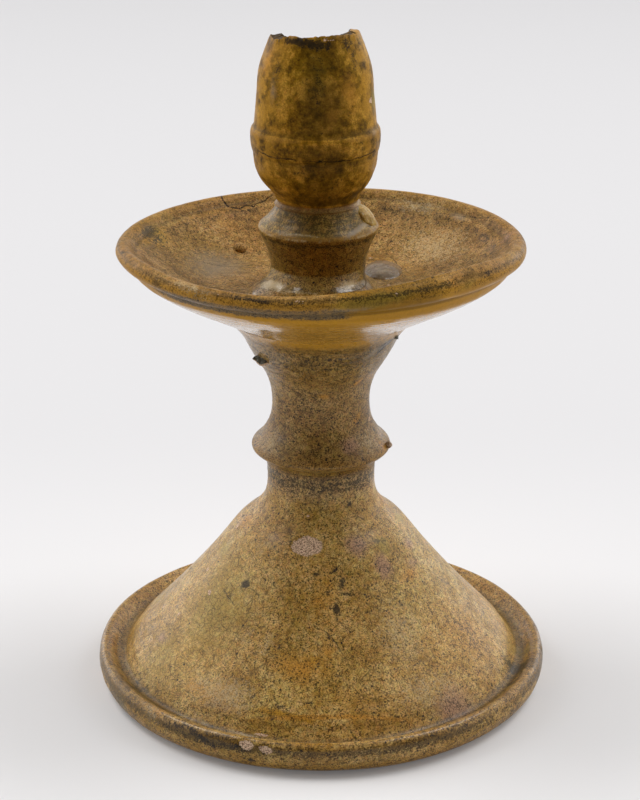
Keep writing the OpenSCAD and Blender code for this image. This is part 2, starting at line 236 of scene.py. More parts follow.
def fillet_outline(name, below, above, reach, axis, proud=0.14 * MM):
    """Outline of a slip ring whose outer side fills the crease between the sections it joins."""
    line, _ = cut_through(name, axis)
    low, high = line[:, 1].min(), line[:, 1].max()
    outer = line[:, 0].max()
    inner = line[:, 0].min()
    start = walk(below, np.array([outer, low]), reach, -1)
    end = walk(above, np.array([outer, high]), reach, 1)
    middle = np.array([outer, (low + high) / 2])
    t = np.linspace(0, 1, 15)[:, None]
    curve = (1 - t) ** 2 * start + 2 * t * (1 - t) * middle + t**2 * end
    along = (end - start) / np.linalg.norm(end - start)
    out = np.array([along[1], -along[0]])
    curve += out * proud * (4 * t * (1 - t) * 1.8 - 0.8)
    back = middle[0] - 1.2 * MM
    return np.vstack([[inner, low], [back, low], curve, [back, high], [inner, high]])


def store(mesh, paint):
    """Writes the painted layers into a mesh; a layer that isn't painted is 0."""
    for group, layers in LAYERS.items():
        values = np.ones((len(mesh.vertices), 4), np.float32)
        for k, layer in enumerate(layers):
            values[:, k] = paint.get(layer, 0)
        attribute = mesh.color_attributes.new(group, "FLOAT_COLOR", "POINT")
        attribute.data.foreach_set("color", values.reshape(-1))


class Surface:
    """One turned section: a grid of points, and what is painted on each of them."""

    def __init__(self, name, axis, sides, fine, coarse, rings, pitch, outline=None, smooth=2):
        self.name, self.axis = name, axis
        self.seed = sum(map(ord, name))
        line, self.closed = (outline, True) if outline is not None else cut_through(name, axis)
        line = resample(line, self.closed, fine * MM, coarse * MM)
        for _ in range(smooth):
            eased = (np.roll(line, 1, 0) + 2 * line + np.roll(line, -1, 0)) / 4
            if not self.closed:
                eased[[0, -1]] = line[[0, -1]]
            line = eased
        self.outline = line
        self.shape = (sides, len(line))
        share = 2 * math.pi * np.arange(sides) / sides
        # Sides are narrower at the front, at -90 degrees, which the photograph shows
        angle = share - 0.25 * np.sin(share) - math.pi / 2
        radius = line[:, 0]
        grid = np.stack(
            [
                axis + np.outer(np.cos(angle), radius),
                np.outer(np.sin(angle), radius),
                np.outer(np.ones(sides), line[:, 1]),
            ],
            axis=2,
        )
        self.normal = self.facing(grid)
        bow = np.roll(grid, 1, 1) + np.roll(grid, -1, 1) - 2 * grid
        bow = -(bow * self.normal.reshape(grid.shape)).sum(2)
        bow /= np.square(np.linalg.norm(np.roll(grid, -1, 1) - grid, axis=2)) + 1e-12
        if not self.closed:
            bow[:, [0, -1]] = 0
        for _ in range(2):
            bow = (np.roll(bow, 1, 1) + 2 * bow + np.roll(bow, -1, 1)) / 4
        self.edge = np.clip(bow.reshape(-1) * MM / 0.35, -1, 1)
        self.true = grid.reshape(-1, 3)
        self.co = self.true.copy()
        self.throw(axis, rings * MM, pitch * MM)
        names = [layer for group in LAYERS.values() for layer in group]
        self.paint = {layer: np.zeros(len(self.co)) for layer in names}
        self.paint["offset"] += 1

    def facing(self, grid):
        """Outward normals of a grid."""
        turned = np.roll(grid, -1, 0) - np.roll(grid, 1, 0)
        along = np.roll(grid, -1, 1) - np.roll(grid, 1, 1)
        normal = np.cross(turned, along)
        if not self.closed:
            normal[:, 0], normal[:, -1] = (0, 0, -1), (0, 0, 1)
        normal = normal.reshape(-1, 3)
        return normal / np.maximum(np.linalg.norm(normal, axis=1, keepdims=True), 1e-12)

    def push(self, by):
        self.co += self.normal * by[:, None]

    def within(self, place, reach):
        """Indices of the points inside a cube round a place."""
        near = np.abs(self.co[:, 2] - place[2]) < reach
        near &= np.abs(self.co[:, 0] - place[0]) < reach
        near &= np.abs(self.co[:, 1] - place[1]) < reach
        return np.nonzero(near)[0]

    def throw(self, axis, depth, pitch):
        """Throwing rings that climb one pitch a turn, and the slow unevenness of hand work."""
        off = self.co - np.array([axis, 0, 0])
        turns = np.arctan2(off[:, 1], off[:, 0]) / (2 * math.pi)
        rise = np.where(np.abs(self.normal[:, 2]) > 0.8, np.hypot(off[:, 0], off[:, 1]), off[:, 2])
        fade = 0.5 + 0.5 * lumps(self.co, 16 * MM, self.seed)
        by = depth * fade * np.sin(2 * math.pi * (rise / pitch - turns))
        by += 0.16 * MM * lumps(self.co, 26 * MM, self.seed + 1)
        by += 0.05 * MM * lumps(self.co, 5 * MM, self.seed + 2, 2)
        self.push(by)

    def tree(self):
        return BVHTree.FromPolygons(self.co.tolist(), self.quads().tolist())

    def quads(self):
        index = np.arange(len(self.co)).reshape(self.shape)
        after = np.roll(index, -1, 0)
        corners = np.stack([index, after, np.roll(after, -1, 1), np.roll(index, -1, 1)], axis=2)
        if not self.closed:
            corners = corners[:, :-1]
        return corners.reshape(-1, 4)

    def mesh(self):
        quads = self.quads()
        mesh = bpy.data.meshes.new(self.name)
        mesh.vertices.add(len(self.co))
        mesh.vertices.foreach_set("co", self.co.reshape(-1).astype(np.float32))
        mesh.loops.add(quads.size)
        mesh.loops.foreach_set("vertex_index", quads.reshape(-1).astype(np.int32))
        mesh.polygons.add(len(quads))
        mesh.polygons.foreach_set("loop_start", np.arange(0, quads.size, 4, dtype=np.int32))
        mesh.update(calc_edges=True)
        mesh.validate()
        mesh.shade_smooth()
        store(mesh, self.paint)
        if not self.closed:
            bm = bmesh.new()
            bm.from_mesh(mesh)
            bmesh.ops.remove_doubles(bm, verts=bm.verts, dist=1e-6)
            bm.to_mesh(mesh)
            bm.free()
        return mesh


# Shape: how the piece departs from true

# Height of the pan's crest above true, in mm, at degrees round from the camera's side
RIM_LIFT = {-120: -0.3, -90: -0.7, -75: 1.5, -59: 2.4, -40: 0.7, -10: 0.4, 9: 2.5, 18: 3.2}
RIM_LIFT.update({33: 4.9, 50: 4.9, 62: 3.6, 80: 1, 95: 0.6, 140: 1.4, 180: 0})
# How far the upper stem's foot spreads in front, where slip and glaze pooled
FRONT_POOL = 6.3 * MM
# How much further it runs out to the left of that
LEFT_POOL = 5 * MM
# How far the foot of the socket leans back to the upper stem's middle
SOCKET_LEAN = 0.7 * MM


def bend(surface):
    """Sagging crest of the pan's rim, and the lean of the socket."""
    x, y, z = surface.co.T
    r = np.hypot(x, y)
    front = np.degrees(np.arctan2(x, -y))
    if surface.name == "drip_pan":
        crest = ease(r, PAN_R - 15 * MM, PAN_R - 8 * MM) * (1 - 0.6 * ease(r, PAN_R - 5 * MM, PAN_R))
        crest *= ease(surface.co[:, 2], PAN_HIGH - 9 * MM, PAN_HIGH - 1 * MM)
        surface.co[:, 2] += around(front, RIM_LIFT) * MM * crest
    if surface.name in ("upper_stem", "pan_slip"):
        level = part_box("upper_stem")[0].z
        spread = FRONT_POOL * ease(np.abs(front), 85, 35) + LEFT_POOL * ease(np.abs(front + 62), 38, 8)
        spread *= np.clip((level + 6.7 * MM - z) / (5.8 * MM), 0, 1) ** 1.15
        out = ease(r, 14 * MM, 15.5 * MM) * spread / np.maximum(r, 1e-6)
        surface.co[:, 0] += x * out
        surface.co[:, 1] += y * out
    if surface.name in ("candle_socket", "socket_slip"):
        surface.co[:, 0] += SOCKET_LEAN * ease(z, SOCKET_LOW + 10 * MM, SOCKET_LOW)
    surface.co[:, 2] = np.maximum(surface.co[:, 2], 0)


# Height to which the outer edge of the mouth stands over its hole's edge in front, in metres,
# and the thickness of the wall there, in mm
FRONT_LIP = 1.4 * MM
MOUTH_WALL = 2.8


def break_mouth(socket):
    """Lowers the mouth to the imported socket's break, and roughens the broken face."""
    mount = next(m for m in frame["record"]["mounts"] if m["name"] == "candle_socket")
    hole_r = mount["dims"]["r_mm"] * MM
    packed = np.array([v.co for v in NODES["candle_socket"].data.vertices])
    packed[:, 0] -= SOCKET_X
    r, angle = np.hypot(packed[:, 0], packed[:, 1]), np.arctan2(packed[:, 1], packed[:, 0])
    wall = (np.abs(r - hole_r) < 0.3 * MM) & (packed[:, 2] > MOUTH_Z - 14 * MM)
    bins = 48
    where = np.round((angle[wall] / math.pi + 1) * bins / 2).astype(int) % bins
    tops = {k: packed[wall, 2][where == k].max() for k in set(where)}
    at = np.array([(2 * k / bins - 1) * math.pi for k in tops])
    x = socket.co[:, 0] - SOCKET_X
    r, angle = np.hypot(x, socket.co[:, 1]), np.arctan2(socket.co[:, 1], x)
    line = np.interp(angle, at, np.array(list(tops.values())), period=2 * math.pi)
    ring = np.column_stack([np.cos(angle), np.sin(angle), 0 * r]) * hole_r
    front = np.abs(np.degrees(np.arctan2(x, -socket.co[:, 1])))
    lift = FRONT_LIP * ease(front, 62, 30)
    wall = MOUTH_WALL * MM
    limit = line + (r - hole_r) * (lift / wall - 0.15) + 0.3 * MM * lumps(ring, 1.7 * MM, 3, 2)
    flat = socket.co * np.array([1, 1, 0])
    loss = socket.co[:, 2] - limit
    torn = loss > 0
    raised = ~torn & (lift > 0) & (r > hole_r + 0.4 * MM) & (loss > -FRONT_LIP)
    edge = limit + 0.3 * MM * lumps(flat, 0.9 * MM, 5, 2)
    socket.co[:, 2] = np.where(torn | raised, edge, socket.co[:, 2])
    behind = ease(front, 70, 100)
    socket.paint["clay"] = np.maximum(socket.paint["clay"], 0.36 * behind * torn * ease(line, MOUTH_Z, MOUTH_Z - 3 * MM))
    socket.paint["soot"] = np.maximum(socket.paint["soot"], (0.75 - 0.4 * behind) * torn)


# Marks: what use, chance and the kiln left, and painted highlights, glints and shade, each placed by the photograph's
# pixel


class Mark:
    """A patch of one layer: where it shows, its half width and height in mm, and its tilt."""

    def __init__(self, layer, at, half, tilt=0, strength=1.0, sink=0.0):
        self.layer, self.at, self.half, self.tilt = layer, at, half, tilt
        self.strength, self.sink = strength, sink


MARKS = [
    # Socket: soot at the mouth, grey and olive patches, and painted shade down its front middle
    Mark("soot", (300, 42), (12, 2.2), strength=1.0),
    Mark("soot", (316, 45), (7, 3.0), strength=1.0),
    Mark("clay", (329, 40), (3.4, 0.5), strength=0.7),
    Mark("clay", (343, 37), (2.0, 0.5), tilt=20, strength=0.7),
    Mark("soot", (347, 42), (4.4, 5), strength=0.75),
    Mark("soot", (354, 60), (3.2, 7), strength=0.55),
    Mark("soot", (277, 72), (2.2, 8), strength=0.5),
    Mark("film", (273, 90), (3, 8), strength=0.5),
    # Olive and shade down the front middle: olive tint and painted shade of the socket's unlit front
    Mark("olive", (318, 80), (6, 16), strength=0.35),
    Mark("shade", (316, 88), (6, 18), strength=0.4),
    Mark("orange", (350, 95), (5, 9), strength=0.7),
    Mark("orange", (268, 60), (4, 9), strength=0.7),
    Mark("orange", (332, 118), (5, 5), strength=0.7),
    Mark("soot", (318, 104), (1.5, 1.8), strength=0.6),
    # Collar: milky pool on its shoulder and crust along its edge
    Mark("film", (272, 219), (10, 4.5), strength=0.35),
    Mark("orange", (362, 213), (6, 5), strength=0.5),
    Mark("pale", (363, 213), (6, 5), strength=0.4),
    Mark("film", (358, 229), (10, 1.3), tilt=14, strength=1.0),
    Mark("film", (384, 270), (7, 6), strength=0.9),
    Mark("film", (367, 284), (4, 3), strength=1.0),
    Mark("soot", (384, 281), (5, 0.8), tilt=8, strength=0.5),
    Mark("pale", (362, 228), (7, 1.2), tilt=14, strength=0.7),
    Mark("pale", (300, 235), (12, 0.8), strength=0.5),
    # Pan floor, wall and rim, painted light on the knop's sides and painted highlights at the upper stem's foot
    Mark("film", (215, 268), (22, 17), strength=0.7),
    Mark("olive", (150, 232), (9, 9), strength=0.8),
    Mark("gold", (147, 232), (11, 14), strength=1.2),
    Mark("orange", (440, 240), (26, 22), strength=0.35),
    Mark("shade", (147, 232), (11, 15), strength=0.72),
    Mark("shade", (425, 208), (12, 4), tilt=-12, strength=0.5),
    Mark("shade", (470, 276), (7, 5), tilt=22, strength=0.7),
    Mark("orange", (225, 222), (14, 12), strength=0.3),
    Mark("soot", (391, 241), (1.4, 1.4), strength=0.9),
    Mark("soot", (400, 242), (0.9, 0.6), strength=0.7),
    Mark("film", (458, 217), (8, 2.5), strength=0.6),
    Mark("pale", (435, 248), (24, 15), strength=0.5),
    Mark("pale", (416, 206), (14, 5), strength=0.5),
    # Pale on the knop's left and right: painted light where its sides catch the side light
    Mark("pale", (272, 444), (6, 8), strength=0.56),
    Mark("pale", (368, 444), (7, 8), strength=0.54),
    # Pale at the upper stem's foot, left and right: painted highlights
    Mark("pale", (273, 285), (9, 3), strength=1.2),
    Mark("pale", (348, 285), (7, 2.4), strength=0.8),
    Mark("pale", (190, 287), (16, 3), tilt=-12, strength=0.5),
    # Pale on the pan floor in front of the upper stem's foot: painted light
    Mark("pale", (300, 292), (14, 1), strength=0.6),
    Mark("shade", (372, 289), (10, 1.4), tilt=6, strength=0.5),
    Mark("shade", (364, 273), (4, 5), strength=0.7),
    Mark("shade", (156, 284), (7, 3), tilt=-35, strength=0.68),
    Mark("shade", (197, 296), (3, 2), tilt=-15, strength=0.52),
    Mark("soot", (258, 301), (14, 1.2), tilt=-4, strength=0.8),
    Mark("soot", (290, 304), (5, 1.1), strength=0.8),
    Mark("shade", (298, 314), (34, 1.1), strength=0.56),
    Mark("film", (270, 314), (20, 1.6), strength=0.8),
    Mark("film", (345, 311), (13, 1.5), strength=0.7),
    Mark("olive", (375, 300), (18, 3.0), tilt=6, strength=1.3),
    Mark("soot", (489, 273), (2.6, 2.2), strength=0.8),
    Mark("olive", (470, 283), (8, 2.6), tilt=22, strength=0.8),
    Mark("orange", (453, 282), (3, 2.4), strength=1.0),
    Mark("soot", (241, 193), (4, 1.0), strength=0.8),
    Mark("pink", (508, 236), (3, 6), strength=0.9),
    Mark("soot", (124, 252), (2.0, 3.5), tilt=-60, strength=0.6),
    # Stem: smears, blotches and streaks
    Mark("film", (378, 349), (9, 2.2), tilt=38, strength=0.9),
    Mark("shade", (384, 346), (8, 3), tilt=38, strength=1.0),
    Mark("soot", (382, 346), (8, 1.8), tilt=38, strength=0.6),
    Mark("shade", (375, 340), (9, 6), strength=0.4),
    Mark("soot", (329, 360), (2.6, 1.8), strength=0.55),
    Mark("orange", (358, 382), (4.2, 1.3), tilt=38, strength=1.3),
    Mark("orange", (357, 418), (4.6, 1.5), tilt=42, strength=1.3),
    Mark("orange", (324, 397), (2.6, 1.5), strength=1.1),
    Mark("orange", (383, 446), (4, 3.4), strength=1.0),
    Mark("pink", (350, 446), (6, 5), strength=1.0),
    Mark("film", (280, 438), (6, 5), strength=0.45),
    Mark("soot", (340, 484), (1.4, 3.4), strength=0.6),
    Mark("soot", (348, 505), (3.4, 2.2), tilt=30, strength=0.55),
    Mark("soot", (282, 469), (4, 0.6), strength=0.6),
    # Foot: chips, spots and clouds of colour, and painted glints
    Mark("clay", (307, 545), (5.6, 4.6), tilt=8, strength=1.4, sink=0.5),
    Mark("soot", (246, 584), (3.1, 2.6), strength=1.15),
    Mark("soot", (258, 594), (1.1, 1.0), strength=0.8),
    Mark("soot", (263, 627), (0.9, 1.0), strength=0.9),
    Mark("soot", (336.5, 609), (1.8, 4.4), strength=0.95),
    Mark("soot", (331, 608), (2.0, 0.9), strength=0.85),
    Mark("soot", (335, 570), (2.2, 0.9), tilt=40, strength=0.9),
    Mark("soot", (342, 584), (2.2, 5.2), tilt=-14, strength=0.72),
    Mark("soot", (346, 594.5), (4, 1.2), tilt=-6, strength=0.8),
    Mark("soot", (328, 593), (3.2, 2.2), tilt=-30, strength=0.65),
    Mark("soot", (336.5, 620), (1.1, 1.0), strength=0.8),
    Mark("soot", (346, 627), (2.8, 1.0), tilt=-38, strength=0.7),
    Mark("soot", (350, 631), (1.3, 1.3), strength=0.8),
    Mark("soot", (330, 638), (4, 1.4), tilt=-42, strength=0.68),
    Mark("soot", (316, 574), (2.2, 1.5), strength=0.75),
    Mark("soot", (274, 583), (1.0, 0.9), strength=1.1),
    Mark("soot", (306, 595), (2.4, 1.2), strength=0.5),
    Mark("soot", (279, 647), (1.0, 1.5), strength=0.6),
    Mark("soot", (326.7, 665.8), (0.6, 0.6), strength=1.0),
    Mark("soot", (340, 676), (2.6, 0.9), strength=0.5),
    Mark("gold", (314, 661), (4.6, 3.4), strength=0.9),
    Mark("orange", (327, 653), (3.6, 3.4), strength=1.0),
    Mark("orange", (319, 600), (4.4, 3), strength=0.8),
    # Tiny pale clay dots on the foot's neck and on the pan: painted glints
    Mark("clay", (308, 516), (0.6, 0.5), strength=1.2),
    Mark("clay", (389, 285), (0.9, 0.5), strength=1.2),
    Mark("clay", (370, 258), (1.2, 0.4), strength=1.0),
    Mark("clay", (257, 267), (0.6, 0.4), strength=1.2),
    Mark("gold", (290, 716), (20, 1.8), tilt=-9, strength=1.2),
    Mark("soot", (402, 605), (0.8, 0.8), strength=0.9),
    Mark("soot", (399, 632), (0.8, 0.9), strength=0.9),
    Mark("soot", (415, 601), (1.4, 0.6), strength=0.6),
    Mark("film", (405, 622), (1.8, 1.0), strength=0.8),
    Mark("pink", (357, 545), (6, 6), strength=1.3),
    Mark("olive", (383, 546), (4, 5), strength=1.4),
    Mark("pink", (384, 567), (5, 7), strength=1.2),
    Mark("orange", (409, 574), (8, 4), strength=1.1),
    Mark("olive", (205, 620), (30, 44), strength=0.6),
    Mark("olive", (165, 655), (20, 26), strength=0.6),
    Mark("pale", (246, 640), (4.4, 7), strength=0.35),
    Mark("pale", (266, 645), (3.6, 9), tilt=-20, strength=0.45),
    Mark("orange", (300, 667), (16, 8), strength=0.9),
    Mark("orange", (198, 688), (9, 4), strength=0.8),
    Mark("orange", (325, 600), (10, 20), strength=0.5),
    Mark("pink", (455, 706), (12, 9), strength=1.1),
    Mark("pink", (225, 708), (16, 4), strength=0.5),
    Mark("soot", (318, 665), (0.9, 1.5), strength=1.0),
    Mark("soot", (281, 707), (2.8, 1.1), strength=0.85),
    Mark("soot", (309, 703), (3.2, 0.7), strength=0.8),
    Mark("soot", (273, 719), (3.0, 0.9), tilt=35, strength=0.6),
    Mark("orange", (330, 717), (40, 1.2), strength=1.4),
    Mark("olive", (120, 700), (9, 9), strength=0.9),
    Mark("pale", (218, 690), (18, 9), strength=0.4),
    Mark("pale", (205, 723), (12, 1.0), tilt=-20, strength=0.6),
    Mark("pale", (245, 735), (12, 0.9), tilt=-9, strength=0.6),
    Mark("orange", (468, 640), (18, 30), strength=0.55),
    Mark("shade", (472, 640), (15, 26), strength=0.34),
    Mark("pale", (428, 690), (18, 9), strength=0.4),
    Mark("pale", (398, 630), (14, 18), strength=0.38),
    Mark("orange", (220, 694), (16, 8), strength=0.5),
    Mark("pale", (220, 692), (20, 9), strength=0.6),
    Mark("orange", (510, 698), (8, 5), strength=0.6),
    Mark("orange", (156, 712), (9, 4), tilt=-25, strength=0.7),
    Mark("pale", (150, 708), (9, 4), tilt=-25, strength=0.45),
    Mark("pale", (258, 545), (10, 9), strength=0.26),
    Mark("soot", (218, 741), (12, 3), tilt=-12, strength=0.5),
    Mark("soot", (178, 727), (8, 3), tilt=-22, strength=0.48),
    Mark("soot", (128, 695), (5, 4), tilt=-45, strength=0.42),
    Mark("shade", (536, 664), (7, 16), strength=1.0),
    Mark("soot", (200, 737), (15, 1.9), tilt=-18, strength=0.8),
    Mark("soot", (240, 747), (7, 1.6), tilt=-8, strength=0.7),
    Mark("shade", (340, 750), (14, 1.6), strength=0.45),
    Mark("shade", (300, 752), (8, 1.2), strength=0.45),
    Mark("soot", (428, 738), (14, 1.5), tilt=14, strength=0.45),
    Mark("soot", (468, 722), (6, 1.2), tilt=20, strength=0.5),
    Mark("clay", (246, 745), (2.9, 2.1), tilt=-12, strength=1.2, sink=0.35),
    Mark("clay", (265, 750), (3.3, 1.6), tilt=-12, strength=1.1, sink=0.3),
    Mark("soot", (251, 760), (2.0, 1.2), strength=1.2),
    Mark("clay", (262, 735), (3.3, 0.7), tilt=-5, strength=0.8),
    Mark("soot", (541, 648), (1.6, 2.2), strength=1.3, sink=0.4),
    Mark("soot", (526, 652), (3.5, 7), strength=0.5),
    Mark("olive", (526, 650), (6, 10), strength=0.9),
    Mark("orange", (108, 640), (5, 9), strength=0.7),
]

# Cracks and scratches, and one line of painted shade along a crease: points in the photograph, width in mm, and how
# dark they are
CRACKS_AND_CREASE_LINE = [
    ([(221, 196), (223, 200), (227, 206), (239, 209), (246, 205), (253, 207)], 0.5, 1.0),
    ([(250, 206), (258, 203), (263, 202), (269, 197)], 0.4, 0.9),
    ([(222, 196), (234, 193), (248, 191)], 0.3, 0.8),
    # Not a crack: painted shade along the crease under the socket's band
    ([(259, 151), (268, 156), (289, 159), (322, 162), (344, 161), (361, 157), (374, 151)], 0.42, 0.85),
    ([(173, 268), (188, 280), (208, 287), (235, 291), (248, 292)], 0.28, 0.8),
    ([(164, 231), (194, 239), (222, 241), (239, 241)], 0.2, 0.5),
    ([(177, 255), (192, 258), (226, 262)], 0.2, 0.5),
    ([(205, 263), (226, 266), (258, 268)], 0.3, 0.7),
    ([(391, 258), (395, 261), (398, 266)], 0.3, 0.8),
    ([(225, 592), (229, 598), (233, 603)], 0.25, 0.8),
    ([(248, 618), (239, 632), (228, 650)], 0.22, 0.6),
    ([(331, 573), (335, 570), (338, 567)], 0.3, 0.9),
    ([(340, 593), (346, 594), (354, 596)], 0.3, 0.7),
    ([(340, 622), (344, 627), (350, 631)], 0.3, 0.7),
    ([(325, 632), (330, 636), (337, 645)], 0.3, 0.8),
    ([(339, 649), (343, 655), (346, 660)], 0.22, 0.6),
    ([(292, 546), (298, 553), (310, 554), (320, 549)], 0.35, 0.8),
    ([(436, 213), (446, 214), (468, 217), (500, 219)], 0.3, 0.6),
    ([(370, 347), (379, 342), (387, 338), (393, 333)], 0.3, 0.8),
    ([(377, 353), (385, 346), (391, 341)], 0.4, 0.9),
    ([(242, 334), (251, 336), (264, 337)], 0.2, 0.7),
    ([(247, 342), (255, 343), (266, 343)], 0.2, 0.6),
]
CRACK_REACH = 2.4 * MM


class Marker:
    """Finds the point of the surfaces that a pixel shows, and paints patches and lines there."""

    def __init__(self, surfaces):
        self.surfaces = surfaces
        self.trees = [s.tree() for s in surfaces]

    def hit(self, start, way):
        best = None
        for surface, tree in zip(self.surfaces, self.trees):
            place, normal, _, distance = tree.ray_cast(start, way)
            if place is not None and (best is None or distance < best[0]):
                best = (distance, np.array(place), np.array(normal), surface)
        return best and best[1:]

    def patch(self, mark, place, normal):
        across = np.cross([0, 0, 1], normal)
        across /= np.linalg.norm(across) + 1e-9
        along = np.cross(normal, across)
        c, s = math.cos(math.radians(mark.tilt)), math.sin(math.radians(mark.tilt))
        wide, high = (h * MM for h in mark.half)
        for surface in self.surfaces:
            near = surface.within(place, 1.6 * max(wide, high))
            if not len(near):
                continue
            off = surface.co[near] - place
            u, v, w = off @ across, off @ along, off @ normal
            u, v = (c * u + s * v) / wide, (c * v - s * u) / high
            far = np.sqrt(u * u + v * v + np.square(w / (1.5 * max(wide, high))))
            ragged = 0.22 * lumps(surface.co[near], min(wide, high), surface.seed + 7, 2)
            value = mark.strength * np.clip(1 - far + ragged * (far < 1.4), 0, 1)
            layer = surface.paint[mark.layer]
            layer[near] = np.maximum(layer[near], value)
            if mark.sink:
                depth = mark.sink * MM * ease(value, 0.12, 0.3)
                surface.co[near] -= surface.normal[near] * depth[:, None]

    def line(self, points, width, darkness):
        places = [self.hit(*sight(*p)) for p in points]
        places = [p for p in places if p]
        line = np.array([p[0] for p in places])
        normal = np.mean([p[1] for p in places], axis=0)
        for surface in self.surfaces:
            low, high = line.min(axis=0) - CRACK_REACH, line.max(axis=0) + CRACK_REACH
            near = ((surface.co > low) & (surface.co < high)).all(axis=1)
            if not near.any():
                continue
            co = surface.co[near]
            best = np.full(len(co), 9.0)
            side = np.zeros(len(co))
            for a, b in zip(line[:-1], line[1:]):
                way = b - a
                t = np.clip((co - a) @ way / (way @ way), 0, 1)
                off = co - a - t[:, None] * way
                far = np.linalg.norm(off, axis=1)
                closer = far < best
                best = np.where(closer, far, best)
                side = np.where(closer, np.sign(np.cross(way, off) @ normal) * far, side)
            wobble = 0.4 * MM * lumps(co, 1.4 * MM, 31, 2)
            grip = 1 - ease(best, 0.5 * CRACK_REACH, CRACK_REACH)
            better = grip > surface.paint["amount"][near]
            scale = CRACK_REACH / MM * width
            offset = (side + wobble) / (scale * MM)
            for layer, value in (("offset", offset), ("amount", grip), ("dark", 0 * best + darkness)):
                kept = surface.paint[layer][near]
                surface.paint[layer][near] = np.where(better, value, kept)

    def paint_photo(self):
        for mark in MARKS:
            found = self.hit(*sight(*mark.at))
            if found:
                self.patch(mark, found[0], found[1])
        for points, width, darkness in CRACKS_AND_CREASE_LINE:
            self.line(points, width, darkness)

    def paint_rest(self, count=150):
        """Marks of the same kinds on the sides that the photograph doesn't show."""
        draw = np.random.default_rng(12)
        kinds = ("soot", "soot", "orange", "olive", "pink", "film", "clay")
        for _ in range(count):
            front = draw.uniform(60, 300)
            angle = math.radians(front - 90)
            height = draw.uniform(2, 228) * MM
            size = draw.uniform(0.6, 1)
            layer = kinds[draw.integers(len(kinds))]
            slope = draw.uniform(-0.5, 0.1)
            out = Vector((math.cos(angle), math.sin(angle), -slope))
            found = self.hit(out * 0.4 + Vector((0, 0, height)), -out)
            if not found:
                continue
            if layer == "film":
                size *= 0.6
            broad = layer in ("orange", "olive", "pink", "film")
            half = (size * 9, size * 6) if broad else (size * 1.8, size * 1.4)
            tilt = draw.uniform(-30, 30)
            strength = draw.uniform(0.6, 1.1) * (0.6 if layer == "film" else 1)
            self.patch(Mark(layer, None, half, tilt, strength=strength), *found[:2])


# How dark the belt of scum on the foot's lip is, at degrees round from the camera's side
LIP_SHADE = {-100: 0.6, -80: 0.8, -60: 0.7, -44: 0.4, -30: 1.1, -20: 0.9, -8: 0.5, 5: 0.5, 15: 0.5}
LIP_SHADE.update({25: 0.8, 33: 0.75, 42: 0.4, 55: 0.3, 75: 0.9, 90: 1, 100: 1, 180: 0.7})
# The same for the belt under the pan's crest
RIM_SHADE = {-90: 0.7, -75: 0.7, -60: 0.7, -35: 0.8, -10: 1, 8: 0.9, 25: 0.9, 60: 0.8, 90: 0.6, 180: 0.6}


def band(value, middle, half):
    """1 at the middle of a band, falling to 0 at its edges."""
    return np.clip(1 - np.abs(value - middle) / half, 0, 1)


